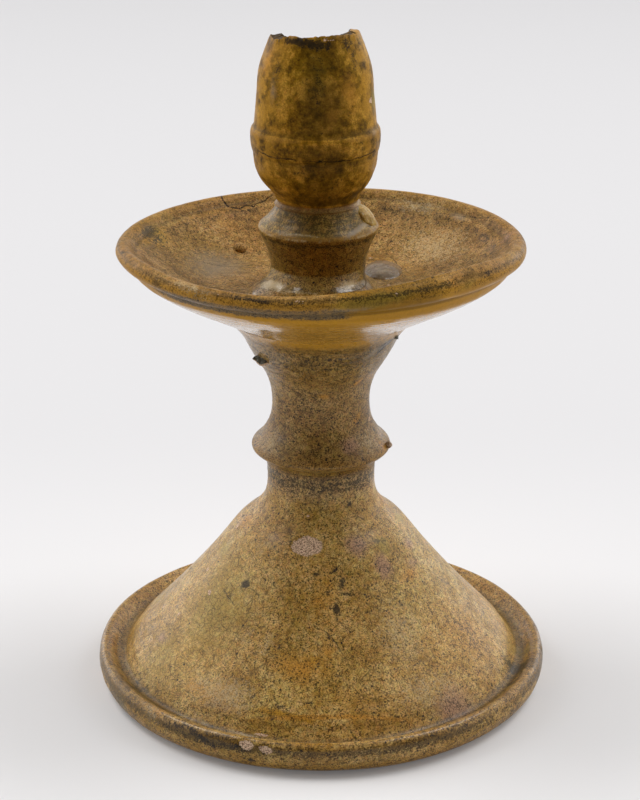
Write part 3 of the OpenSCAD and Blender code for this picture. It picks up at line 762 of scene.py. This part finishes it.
def paint_body(surface):
    """Speckle, bare clay, wet gloss, belts of scum, and painted light and shade on the socket and stem, by where on the
    section they lie.
    """
    x, y, z = surface.true.T
    r = np.hypot(x, y)
    front = np.degrees(np.arctan2(x, -y))
    nz = surface.normal[:, 2]
    outward = (surface.normal[:, 0] * x + surface.normal[:, 1] * y) / np.maximum(r, 1e-6)
    name, paint = surface.name, surface.paint
    ragged = lumps(surface.true, 3.2 * MM, 41, 3)
    speck = np.full(len(z), 0.9)
    bare, wet, gold, shade = (np.zeros(len(z)) for _ in range(4))
    if name == "drip_pan":
        under = ease(-nz, 0.1, 0.5)
        crest = ease(r, PAN_R - 9 * MM, PAN_R - 4 * MM)
        speck = 0.85 - 0.6 * under - 0.1 * crest
        wet = 0.9 * under * ease(z, PAN_HIGH - 8.5 * MM, PAN_HIGH - 10.5 * MM)
        gold = under
        outside = ease(r, PAN_R - 4 * MM, PAN_R - 2 * MM) * ease(outward, 0.2, 0.6)
        belt = around(front, RIM_SHADE)
        shade = belt * band(z, PAN_HIGH + 0.2 * MM, 2.2 * MM) * outside
        gold = np.maximum(gold, band(z, PAN_HIGH - 2.2 * MM, 1.8 * MM) * outside)
        groove = ease(z, PAN_HIGH - 8.4 * MM, PAN_HIGH - 6.8 * MM) * ease(outward, 0.1, 0.5)
        groove *= ease(z, PAN_HIGH - 2.6 * MM, PAN_HIGH - 3.8 * MM)
        groove *= ease(front, 14, 3) * ease(front, -65, -42)
        paint["film"] = 0.42 * groove
        paint["soot"] = 0.38 * groove
        shade = np.maximum(shade, 0.62 * groove)
        pool = ease(front, 1, 8) * ease(front, 42, 30) * ease(z, PAN_HIGH - 6.8 * MM, PAN_HIGH - 5.2 * MM)
        gold = np.maximum(gold, 0.75 * pool * crest)
        wall = band(r, PAN_R - 9.5 * MM, 3.5 * MM) * (1 - under)
        shade = np.maximum(shade, 0.4 * wall * ease(ragged, -0.4, 0.4))
        paint["clay"] = 0.26 * band(z, PAN_HIGH - 0.4 * MM, 1.2 * MM) * ease(ragged, 0, 0.5) * outside
    if name == "stem":
        speck = 1 - 0.4 * ease(z, STEM_HIGH - 3 * MM, STEM_HIGH)
        wet = 0.4 * ease(z, STEM_HIGH - 18 * MM, STEM_HIGH - 8 * MM)
        wet *= 1 - 0.5 * ease(front, 15, 45)
        # Darker at the front of the flare and of the stem's lower part: painted shade on the camera's side
        shade = 0.34 * ease(z, STEM_HIGH - 14 * MM, STEM_HIGH - 7 * MM) * ease(np.abs(front), 60, 40)
        shade += 0.2 * band(z, STEM_LOW + 8 * MM, 7 * MM) * ease(np.abs(front), 40, 10)
        gold = 0.4 * ease(z, STEM_HIGH - 3 * MM, STEM_HIGH)
        bare = ease(-outward, 0.2, 0.6)
    if name == "foot":
        bare = ease(-outward, 0.0, 0.25) * (1 - ease(nz, -0.2, 0.2)) + ease(-nz, 0.8, 0.95)
        bare *= 1 - ease(r, FOOT_R - 3 * MM, FOOT_R - 1 * MM)
        lip = ease(r, FOOT_R - 4 * MM, FOOT_R - 2 * MM)
        side = band(np.abs(front), 62, 26) * ease(r, FOOT_R - 14 * MM, FOOT_R - 8 * MM)
        shade = 1.05 * around(front, LIP_SHADE) * band(z, 9.4 * MM, 3.6 * MM) * lip
        shade = np.maximum(shade, 0.3 * band(z, 3.2 * MM, 4 * MM) * lip)
        gold = 0.6 * band(z, 3 * MM, 5 * MM) * lip
        shade = np.maximum(shade, 0.6 * side * ease(ragged, -0.5, 0.2))
        shade = np.maximum(shade, 0.46 * ease(z, 70 * MM, 78 * MM))
        paint["pink"] = 0.4 * ease(z, 67 * MM, 76 * MM)
        wet = 0.2 * lip * ease(z, 7 * MM, 10 * MM)
    if name == "candle_socket":
        speck = np.full(len(z), 0.3)
        inside = ease(-outward, 0.2, 0.6) * ease(z, SOCKET_LOW + 5 * MM, SOCKET_LOW + 9 * MM)
        paint["soot"] = np.maximum(paint["soot"], 0.8 * inside)
        # Darker towards the front, in patches and evenly in the middle: painted shade of the socket's unlit front
        shade = 0.2 * ease(ragged, -0.1, 0.4) * ease(np.abs(front), 75, 35) + 0.1 * ease(np.abs(front), 40, 10)
    if name == "upper_stem":
        line = surface.outline[surface.outline[:, 1] > PAN_HIGH]
        collar = line[line[:, 0].argmax(), 1]
        above = ease(z, collar - 0.3 * MM, collar + 0.6 * MM)
        speck = 1.0 - 0.75 * above
        foot = 1 - ease(z, PAN_LOW + 16 * MM, PAN_LOW + 19 * MM)
        wet = foot * ease(np.abs(front + 8), 56, 44)
        shade = 0.5 * band(z, collar - 1.6 * MM, 2.6 * MM)
        shade = np.maximum(shade, 0.42 * above)
        paint["pale"] = 0.6 * band(z, collar + 0.3 * MM, 0.8 * MM) * ease(ragged, -0.4, 0.2)
    if name.endswith("slip"):
        speck = np.full(len(z), 0.5 if name != "foot_slip" else 1.0)
        wet = ease(np.abs(front + 8), 56, 44) * (name == "pan_slip")
    if name == "stem_slip":
        wet = 0.45 - 0.15 * ease(front, 15, 45)
        # Darker at the front of the flare: painted shade, as on the stem
        shade = 0.26 * ease(z, STEM_HIGH + 3 * MM, STEM_HIGH) * ease(np.abs(front), 60, 40)
        gold = ease(z, STEM_HIGH - 1 * MM, STEM_HIGH + 4 * MM)
        speck = 0.9 - 0.6 * gold
    if name == "pan_slip":
        speck = 0.9 + 0 * z
    if name == "candle_socket":
        # Gold towards the left and right sides: painted light where the sides catch the side light
        gold = 0.62 * ease(np.abs(front), 25, 55) * ease(ragged, 0.3, -0.2)
    paint.update(speck=speck, wet=wet, gold=gold, shade=shade)
    paint["bare"] = np.clip(bare, 0, 1)
    paint["edge"] = surface.edge * 0.5 * (not name.endswith("slip")) + 0.5
    if name == "drip_pan":
        paint["edge"] -= 0.85 * pool * crest
    if name == "candle_socket":
        # The front middle darkens further through the edge layer: painted shade
        paint["edge"] -= 0.42 * ease(np.abs(front - 2), 42, 8)


# Materials


def srgb(r, g, b):
    """Linear colour of an 8-bit screen colour."""
    return tuple(((c / 255 + 0.055) / 1.055) ** 2.4 if c > 10 else c / 3295 for c in (r, g, b)) + (1,)


AMBER_DEEP, AMBER, AMBER_PALE = srgb(168, 127, 55), srgb(193, 153, 82), srgb(212, 178, 112)
OLIVE, ORANGE, PINK, GOLD = srgb(162, 144, 66), srgb(202, 142, 54), srgb(176, 134, 104), srgb(184, 134, 40)
FILM, CLAY, SOOT = srgb(140, 124, 102), srgb(228, 196, 164), srgb(30, 27, 24)
# The dark olive of scum belts also serves for painted shade
SPECK, BARE_CLAY, SCUM_AND_SHADE = srgb(30, 20, 8), srgb(168, 116, 76), srgb(60, 50, 20)


class Graph:
    """Short forms for the nodes of a material, or of the world."""

    def __init__(self, owner, shader="Principled BSDF", place="Object"):
        self.owner = owner
        owner.use_nodes = True
        self.tree = owner.node_tree
        self.shader = self.tree.nodes[shader]
        self.place = self.tree.nodes.new("ShaderNodeTexCoord").outputs[place]

    def add(self, kind, inputs, **settings):
        node = self.tree.nodes.new("ShaderNode" + kind)
        for key, value in settings.items():
            setattr(node, key, value)
        for key, value in inputs.items():
            if isinstance(value, bpy.types.NodeSocket):
                self.tree.links.new(value, node.inputs[key])
            else:
                node.inputs[key].default_value = value
        return node

    def set(self, **values):
        for key, value in values.items():
            socket = self.shader.inputs[key.replace("_", " ")]
            if isinstance(value, bpy.types.NodeSocket):
                self.tree.links.new(value, socket)
            else:
                socket.default_value = value

    def math(self, operation, a, b=0.0, clamp=False):
        return self.add("Math", {0: a, 1: b}, operation=operation, use_clamp=clamp).outputs[0]

    def stretched(self, stretch):
        mapping = self.add("Mapping", {"Vector": self.place, "Scale": stretch})
        return mapping.outputs[0]

    def shaken(self, size, reach):
        """The place on the surface, moved about at random by up to reach."""
        drift = self.add("VectorMath", {0: self.noise(size, 1, output="Color"), 1: (0.5, 0.5, 0.5)})
        drift.operation = "SUBTRACT"
        moved = self.add("VectorMath", {0: drift.outputs[0], 1: (2 * reach,) * 3, 2: self.place})
        moved.operation = "MULTIPLY_ADD"
        return moved.outputs[0]

    def noise(self, size, detail=2.0, roughness=0.5, stretch=None, output="Fac"):
        place = self.stretched(stretch) if stretch else self.place
        inputs = {"Vector": place, "Scale": 1 / size, "Detail": detail, "Roughness": roughness}
        return self.add("TexNoise", inputs).outputs[output]

    def cells(self, size, feature, place=None):
        inputs = {"Vector": place or self.place, "Scale": 1 / size}
        return self.add("TexVoronoi", inputs, feature=feature).outputs["Distance"]

    def step(self, value, low, high, bottom=0.0, top=1.0):
        inputs = {"Value": value, "From Min": low, "From Max": high, "To Min": bottom, "To Max": top}
        node = self.add("MapRange", inputs, interpolation_type="SMOOTHSTEP")
        return node.outputs[0]

    def ramp(self, value, *stops):
        node = self.add("ValToRGB", {"Fac": value})
        elements = node.color_ramp.elements
        while len(elements) < len(stops):
            elements.new(0.5)
        for element, (position, colour) in zip(elements, stops):
            element.position, element.color = position, colour
        return node.outputs["Color"]

    def mix(self, share, a, b, blend="MIX"):
        node = self.add("Mix", {0: share, 6: a, 7: b}, data_type="RGBA", blend_type=blend)
        return node.outputs[2]

    def painted(self):
        """Sockets of the painted layers, by name."""
        sockets = {}
        for group, layers in LAYERS.items():
            colour = self.add("Attribute", {}, attribute_name=group).outputs["Color"]
            split = self.add("SeparateColor", {"Color": colour})
            sockets.update(zip(layers, split.outputs))
        return sockets


def glaze(name, deep=AMBER_DEEP, mid=AMBER, pale=AMBER_PALE, **looks):
    """Crazed lead glaze: mottled amber, craquelure, specks, milky films, soot and chips."""
    g = Graph(bpy.data.materials.new(name))
    cell = looks.get("cell", 1.0) * MM
    blotch, grain = looks.get("blotch", 14) * MM, looks.get("grain", 2.4) * MM
    lines, rough_at, coat = looks.get("lines", 0.15), looks.get("rough", 0.36), looks.get("coat", 0.03)
    paint = g.painted()
    broad = g.noise(blotch, 3, 0.6)
    fine = g.noise(grain, 4, 0.65)
    tone = g.math("ADD", g.math("MULTIPLY", broad, 0.5), g.math("MULTIPLY", fine, 0.5))
    colour = g.ramp(tone, (0.39, deep), (0.5, mid), (0.61, pale))
    hue = g.noise(1.4 * MM, 4, 0.7, output="Color")
    hue = g.mix(looks.get("hue", 0.25), (1, 1, 1, 1), g.mix(1, hue, (1.95, 1.95, 1.9, 1), "MULTIPLY"))
    colour = g.mix(1, colour, hue, "MULTIPLY")
    drift = g.ramp(g.noise(30 * MM, 2), (0.36, GREENISH), (0.5, (1, 1, 1, 1)), (0.64, REDDISH))
    colour = g.mix(1, colour, drift, "MULTIPLY")
    sand = g.ramp(g.noise(0.5 * MM, 3, 0.7), (0.36, (0.72, 0.7, 0.66, 1)), (0.64, (1.28, 1.28, 1.26, 1)))
    colour = g.mix(1, colour, sand, "MULTIPLY")
    # Clouds of other colours, broken up by the mottling; on the socket's sides the gold is painted light
    ragged = g.math("SUBTRACT", g.noise(1.6 * MM, 4, 0.7), 0.5)
    clouds = (("gold", GOLD, 0.9), ("olive", OLIVE, 0.55), ("orange", ORANGE, 0.75), ("pink", PINK, 0.8))
    for layer, cloud, strength in clouds:
        share = g.step(g.math("ADD", paint[layer], g.math("MULTIPLY", ragged, 0.8)), 0.05, 0.9)
        colour = g.mix(g.math("MULTIPLY", share, strength), colour, cloud)
    granular = g.math("SUBTRACT", g.noise(0.5 * MM, 2, 0.6), 0.5)
    grains = g.math("ADD", g.math("MULTIPLY", ragged, 1.1), g.math("MULTIPLY", granular, 1.3))
    # Scum belts, and painted shade where the shade layer lies on the camera side of the socket and stem
    shade = g.step(g.math("ADD", paint["shade"], grains), 0.3, 0.5)
    shade = g.math("MULTIPLY", shade, g.step(paint["shade"], 0.02, 0.15))
    colour = g.mix(g.math("MULTIPLY", shade, 0.86), colour, SCUM_AND_SHADE)
    # The glaze runs thin and pale on edges, and pools a little darker in creases; on the socket's front middle the same
    # darkening is painted shade
    edge = g.math("ADD", paint["edge"], g.math("MULTIPLY", ragged, 0.3))
    colour = g.mix(g.step(edge, 0.55, 0.85, 0, 0.4), colour, srgb(164, 118, 50))
    colour = g.mix(g.step(edge, 0.42, 0, 0, 0.54), colour, srgb(70, 50, 14))
    # Craquelure, fine dots and pinholes
    shaken = g.shaken(1.1 * MM, 0.35 * MM)
    craze = g.step(g.cells(1.3 * cell, "DISTANCE_TO_EDGE", shaken), 0.07, 0.02)
    craze = g.math("MULTIPLY", craze, g.step(g.noise(1.6 * cell, 3, 0.6), 0.42, 0.54, 0, 0.7))
    dots = g.step(g.cells(0.86 * cell, "F1", shaken), 0.37, 0.29)
    drops = g.step(g.cells(1.9 * cell, "F1", shaken), 0.25, 0.19)
    sand = g.step(g.noise(0.46 * cell, 2, 0.7), 0.55, 0.61)
    gate = g.step(g.noise(1.9 * MM, 3, 0.7), 0.4, 0.54, 0.45, 1)
    dots = g.math("MULTIPLY", g.math("MAXIMUM", g.math("MAXIMUM", dots, sand), drops), gate)
    dots = g.math("MULTIPLY", dots, g.step(paint["olive"], 0, 0.5, 1, 0.6))
    net = g.step(g.cells(3.1 * MM, "DISTANCE_TO_EDGE", shaken), 0.04, 0.015)
    net = g.math("MULTIPLY", net, g.step(g.noise(6 * MM, 3, 0.6), 0.42, 0.54, 0, 0.8))
    speckle = g.math("MAXIMUM", g.math("MAXIMUM", craze, dots), net)
    speckle = g.math("MULTIPLY", speckle, paint["speck"])
    colour = g.mix(g.math("MULTIPLY", speckle, 0.92), colour, SPECK)
    spot = g.step(g.cells(5.5 * MM, "F1"), 0.085, 0.06)
    colour = g.mix(g.math("MULTIPLY", spot, paint["speck"]), colour, srgb(30, 28, 27))
    # Milky film, soot, cracks, chips and bare clay; the pale and clay patches also paint highlights, light and glints
    pale_dust_and_light_share = g.step(g.math("ADD", paint["pale"], grains), 0.1, 0.8, 0, 0.75)
    colour = g.mix(g.math("MULTIPLY", pale_dust_and_light_share, g.step(paint["pale"], 0.02, 0.2)), colour, srgb(196, 172, 128))
    film = g.step(g.math("ADD", paint["film"], g.math("MULTIPLY", ragged, 0.5)), 0.1, 0.65)
    colour = g.mix(g.math("MULTIPLY", film, 0.7), colour, FILM)
    soot = g.step(g.math("ADD", paint["soot"], grains), 0.3, 0.62)
    soot = g.math("MULTIPLY", soot, g.step(paint["soot"], 0.02, 0.15))
    colour = g.mix(g.math("MULTIPLY", soot, 0.85), colour, SOOT)
    fissure = g.step(g.math("ABSOLUTE", paint["offset"]), 0.42, 0.2)
    fissure = g.math("MULTIPLY", g.math("MULTIPLY", fissure, paint["amount"]), paint["dark"])
    fissure = g.math("MULTIPLY", fissure, g.step(granular, -0.12, 0.02, 0.25, 1))
    colour = g.mix(fissure, colour, srgb(22, 16, 10))
    crumbs = g.math("MULTIPLY", g.math("ADD", ragged, granular), 0.45)
    chip = g.step(g.math("ADD", paint["clay"], crumbs), 0.2, 0.28)
    body = g.ramp(g.noise(0.45 * MM, 3, 0.7), (0.4, srgb(118, 86, 64)), (0.56, CLAY))
    colour = g.mix(chip, colour, body)
    bare = g.step(g.math("ADD", paint["bare"], g.math("MULTIPLY", ragged, 0.8)), 0.35, 0.6)
    raw = g.ramp(g.noise(3 * MM, 5, 0.7), (0.35, srgb(126, 82, 50)), (0.6, BARE_CLAY))
    colour = g.mix(bare, colour, raw)
    g.set(Base_Color=colour)
    # Gloss: the painted wet areas are smooth, the rest is worn
    dull = g.math("MAXIMUM", g.math("MAXIMUM", chip, bare), g.math("MULTIPLY", soot, 0.5))
    worn = g.step(g.noise(4 * MM, 3, 0.6), 0.3, 0.7, rough_at - 0.08, rough_at + 0.1)
    worn = g.math("SUBTRACT", worn, g.math("MULTIPLY", paint["wet"], 0.14))
    rough = g.math("MAXIMUM", worn, g.math("MULTIPLY", dull, 0.85))
    shine = g.math("ADD", g.math("MULTIPLY", paint["wet"], 1 - coat), coat)
    shine = g.math("MULTIPLY", g.math("SUBTRACT", 1, dull), shine)
    shine = g.math("MULTIPLY", g.math("SUBTRACT", 1, g.math("MULTIPLY", speckle, 0.8)), shine)
    shine = g.math("MULTIPLY", g.step(granular, -0.18, 0.02, 0.7, 1), shine)
    g.set(Roughness=rough, Coat_Weight=shine)
    g.set(Specular_IOR_Level=looks.get("specular", 0.2), Coat_IOR=GLAZE_IOR, Coat_Roughness=0.1)
    # Relief: throwing lines, orange peel, crazing and cracks
    rings = g.noise(0.7 * MM, 3, 0.6, (0.06, 0.06, 1))
    relief = g.math("ADD", g.math("MULTIPLY", rings, lines), g.math("MULTIPLY", fine, 0.6))
    relief = g.math("SUBTRACT", relief, g.math("MULTIPLY", speckle, 0.35))
    relief = g.math("SUBTRACT", relief, g.math("MULTIPLY", fissure, 1.2))
    coarse = g.math("MULTIPLY", g.noise(0.5 * MM, 3), dull)
    relief = g.math("ADD", relief, g.math("MULTIPLY", coarse, 1.5))
    bump = g.add("Bump", {"Strength": 0.55, "Distance": 0.12 * MM, "Height": relief})
    g.set(Normal=bump.outputs[0])
    return g.owner


# Factors by which the glaze drifts towards green and towards red
GREENISH, REDDISH = (0.98, 1.01, 0.92, 1), (1.04, 0.99, 0.93, 1)
# Refractive index of a lead glaze
GLAZE_IOR = 1.6
GLAZES = {
    "foot_glaze": dict(specular=0.26),
    "stem_glaze": dict(cell=0.9, specular=0.26, deep=srgb(136, 101, 50), mid=srgb(164, 128, 68), pale=srgb(184, 148, 90)),
    "pan_glaze": dict(lines=0.4, specular=0.06, coat=0.01, mid=srgb(160, 122, 66), pale=srgb(182, 146, 92)),
    "upper_glaze": dict(cell=0.72, specular=0.12, mid=srgb(163, 129, 62), pale=srgb(186, 152, 82)),
    "socket_glaze": dict(lines=0.05, specular=0.05, coat=0, hue=0.15, blotch=7, mid=srgb(142, 103, 24)),
    "slip": dict(cell=0.9, specular=0.12, deep=srgb(128, 94, 44), mid=srgb(154, 118, 60), pale=srgb(174, 138, 80)),
    "glaze_drop": dict(coat=0.04, specular=0.15, deep=srgb(86, 68, 46), mid=srgb(111, 90, 66), pale=srgb(134, 112, 88)),
}
GLAZES["pan_glaze"]["deep"] = srgb(130, 96, 46)
GLAZES["upper_glaze"]["deep"] = srgb(137, 106, 47)
GLAZES["socket_glaze"]["deep"], GLAZES["socket_glaze"]["pale"] = srgb(82, 57, 8), srgb(194, 144, 54)


def grit(name, dark, pale, roughness):
    """Fired grit, pale where it is painted as clay."""
    g = Graph(bpy.data.materials.new(name))
    paint = g.painted()
    tone = g.noise(0.9 * MM, 4, 0.6)
    colour = g.ramp(tone, (0.35, dark), (0.62, pale))
    under = g.ramp(g.noise(0.6 * MM, 3), (0.4, srgb(168, 132, 100)), (0.58, srgb(208, 178, 146)))
    colour = g.mix(paint["clay"], colour, under)
    bump = g.add("Bump", {"Strength": 0.8, "Distance": 0.15 * MM, "Height": tone})
    g.set(Base_Color=colour, Roughness=roughness, Normal=bump.outputs[0])
    return g.owner


# Pieces


def add_piece(name, mesh, node, material):
    obj = bpy.data.objects.new(name, mesh)
    bpy.context.scene.collection.objects.link(obj)
    mesh.materials.clear()
    mesh.materials.append(material)
    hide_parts(node)
    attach(obj, "root")
    return obj


def lump_mesh(node, grain, depth, scale, shift, turn=0, rounds=2, **layers):
    """The node's shape turned about Y, scaled and shifted, with a rough skin; sizes in mm."""
    source = NODES[node].data.copy()
    co = np.zeros(len(source.vertices) * 3)
    source.vertices.foreach_get("co", co)
    co = co.reshape(-1, 3)
    low, high = co.min(0), co.max(0)
    middle = (low + high) / 2
    c, s = math.cos(math.radians(turn)), math.sin(math.radians(turn))
    spun = (co - middle) @ np.array([[c, 0, -s], [0, 1, 0], [s, 0, c]])
    co = middle + spun * scale + np.array(shift) * MM
    source.vertices.foreach_set("co", co.reshape(-1))
    obj = bpy.data.objects.new(node + "_shape", source)
    bpy.context.scene.collection.objects.link(obj)
    remesh = obj.modifiers.new("skin", "REMESH")
    remesh.mode = "VOXEL"
    remesh.voxel_size = 0.22 * MM
    bpy.context.view_layer.update()
    solid = obj.evaluated_get(bpy.context.evaluated_depsgraph_get())
    mesh = bpy.data.meshes.new_from_object(solid)
    bpy.data.objects.remove(obj)
    bm = bmesh.new()
    bm.from_mesh(mesh)
    free = dict(use_axis_x=True, use_axis_y=True, use_axis_z=True)
    for _ in range(rounds):
        bmesh.ops.smooth_vert(bm, verts=bm.verts, factor=0.5, **free)
    bm.to_mesh(mesh)
    bm.free()
    co, normal = np.zeros(len(mesh.vertices) * 3), np.zeros(len(mesh.vertices) * 3)
    mesh.vertices.foreach_get("co", co)
    mesh.vertices.foreach_get("normal", normal)
    co, normal = co.reshape(-1, 3), normal.reshape(-1, 3)
    co += normal * (depth * MM * lumps(co, grain * MM, sum(map(ord, node)), 3))[:, None]
    mesh.vertices.foreach_set("co", co.reshape(-1))
    mesh.update()
    mesh.shade_smooth()
    if "under" in layers:
        layers["clay"] = layers.pop("under") * ease(-normal[:, 2], -0.1, 0.25)
    store(mesh, {"edge": 0.5, "offset": 1, **layers})
    return mesh


LUMPS = {
    "sherd_left": dict(grain=1.3, depth=0.35, scale=(0.95, 0.9, 0.85), shift=(0.3, 0, 0.3), turn=75, under=1),
    "sherd_right": dict(grain=1.4, depth=0.3, scale=(0.8, 0.8, 0.7), shift=(-1.9, -7.8, 3.3)),
    "grit_bead": dict(grain=1, depth=0.2, scale=(0.62, 0.62, 0.62), shift=(-0.5, 0, 0.5), clay=0.7),
    "collar_drop": dict(grain=3.0, depth=0.5, scale=(1.5, 1.6, 1.35), shift=(-1.2, 0, -0.2), speck=0.25, rounds=4),
    "pan_drop": dict(grain=3.4, depth=0.35, scale=(1.4, 2.2, 1.2), shift=(-0.5, -1.2, -0.45), rounds=4, wet=0.3),
    "pan_pebble": dict(grain=2, depth=0.25, scale=(1.1, 1.1, 0.9), shift=(0, 0, -0.6), speck=0.8),
}


# Lumps that the neighbouring glaze ran over
LOOKS = {"pan_pebble": "pan_glaze", "collar_drop": "upper_glaze"}


# Stage: floor, softboxes and surroundings


FLOOR_GLOW = 0.1
FLOOR_NEAR, FLOOR_FAR = (0.7, 0.69, 0.69, 1), (0.565, 0.555, 0.56, 1)
# Brightness of the white tent: its sides, its back, its open slot above and its camera side
TENT_SIDE, TENT_BACK, TENT_SLOT, TENT_FRONT = 1.55, 0.7, 0.08, 0.03


def make_floor():
    """Pale paper, which glows a little for the camera and in reflections, and keeps the shadow."""
    mesh = bpy.data.meshes.new("floor")
    half = 9.0
    corners = [(-half, -half, 0), (half, -half, 0), (half, half, 0), (-half, half, 0)]
    mesh.from_pydata(corners, [], [(0, 1, 2, 3)])
    obj = bpy.data.objects.new("floor", mesh)
    bpy.context.scene.collection.objects.link(obj)
    g = Graph(bpy.data.materials.new("floor_paper"))
    far = g.add("SeparateXYZ", {"Vector": g.place}).outputs["Y"]
    g.set(Base_Color=g.mix(g.step(far, -0.1, 0.25), FLOOR_NEAR, FLOOR_FAR))
    g.set(Roughness=0.9, Specular_IOR_Level=0.1)
    light = g.add("LightPath", {})
    seen = light.outputs["Is Camera Ray"]
    for ray in ("Is Glossy Ray", "Is Transmission Ray"):
        seen = g.math("MAXIMUM", seen, light.outputs[ray])
    g.set(Emission_Color=(1, 0.98, 0.985, 1), Emission_Strength=g.math("MULTIPLY", seen, FLOOR_GLOW))
    mesh.materials.append(g.owner)


def make_world():
    """White tent, dark on the camera's side and along a slot over the middle."""
    world = bpy.data.worlds.new("surroundings")
    bpy.context.scene.world = world
    g = Graph(world, "Background", "Generated")
    x, y, z = g.add("SeparateXYZ", {"Vector": g.place}).outputs
    side = g.step(g.math("ABSOLUTE", x), 0.3, 0.5, 0, TENT_SIDE)
    side = g.math("MULTIPLY", side, g.step(z, 0, 1, 1, 0.5))
    back = g.step(y, 0.3, 0.7, 0, TENT_BACK)
    lit = g.math("ADD", g.math("ADD", side, back), TENT_SLOT)
    lit = g.math("MULTIPLY", lit, g.step(y, -0.6, -0.2))
    g.set(Strength=g.math("ADD", lit, TENT_FRONT), Color=(0.98, 0.99, 1, 1))


def softbox(name, azimuth, away, height, watts, size):
    """Square lamp at degrees round from the camera's side, aimed at the candlestick."""
    lamp = bpy.data.lights.new(name, "AREA")
    lamp.shape = "SQUARE"
    lamp.size = size
    lamp.energy = watts
    obj = bpy.data.objects.new(name, lamp)
    angle = math.radians(azimuth)
    obj.location = (away * math.sin(angle), -away * math.cos(angle), height)
    way = Vector((0, 0, 0.1)) - obj.location
    obj.rotation_euler = way.to_track_quat("-Z", "Y").to_euler()
    bpy.context.scene.collection.objects.link(obj)


def make_surfaces():
    sections = {name: Surface(name, **spec) for name, spec in SECTIONS.items()}
    slips = []
    for name, joint in SLIPS.items():
        below, above = sections[joint["below"]], sections[joint["above"]]
        axis = above.axis
        shift = np.array([below.axis - axis, 0])
        outline = fillet_outline(name, below.outline + shift, above.outline, joint["spread"] * MM, axis)
        grid = dict(axis=axis, sides=240, fine=0.3, coarse=1.4, rings=0, pitch=2)
        slips.append(Surface(name, outline=outline, smooth=0, **grid))
    return list(sections.values()) + slips


def build():
    bpy.context.scene.view_settings.view_transform = "Standard"
    make_camera()
    surfaces = make_surfaces()
    for surface in surfaces:
        bend(surface)
        paint_body(surface)
    break_mouth(next(s for s in surfaces if s.name == "candle_socket"))
    marker = Marker(surfaces)
    marker.paint_photo()
    marker.paint_rest()
    materials = {slot: glaze(slot, **looks) for slot, looks in GLAZES.items()}
    materials["kiln_grit"] = grit("kiln_grit", srgb(38, 33, 22), srgb(92, 90, 72), 0.5)
    for surface in surfaces:
        add_piece(surface.name + "_glazed", surface.mesh(), surface.name, materials[SLOTS[surface.name]])
    for node, looks in LUMPS.items():
        look = LOOKS.get(node, SLOTS[node])
        add_piece(node + "_fired", lump_mesh(node, **looks), node, materials[look])
    make_floor()
    make_world()
    for name, azimuth in (("softbox_left", -110), ("softbox_right", 110)):
        softbox(name, azimuth, away=1.3, height=2.35, watts=28, size=1.2)


build()
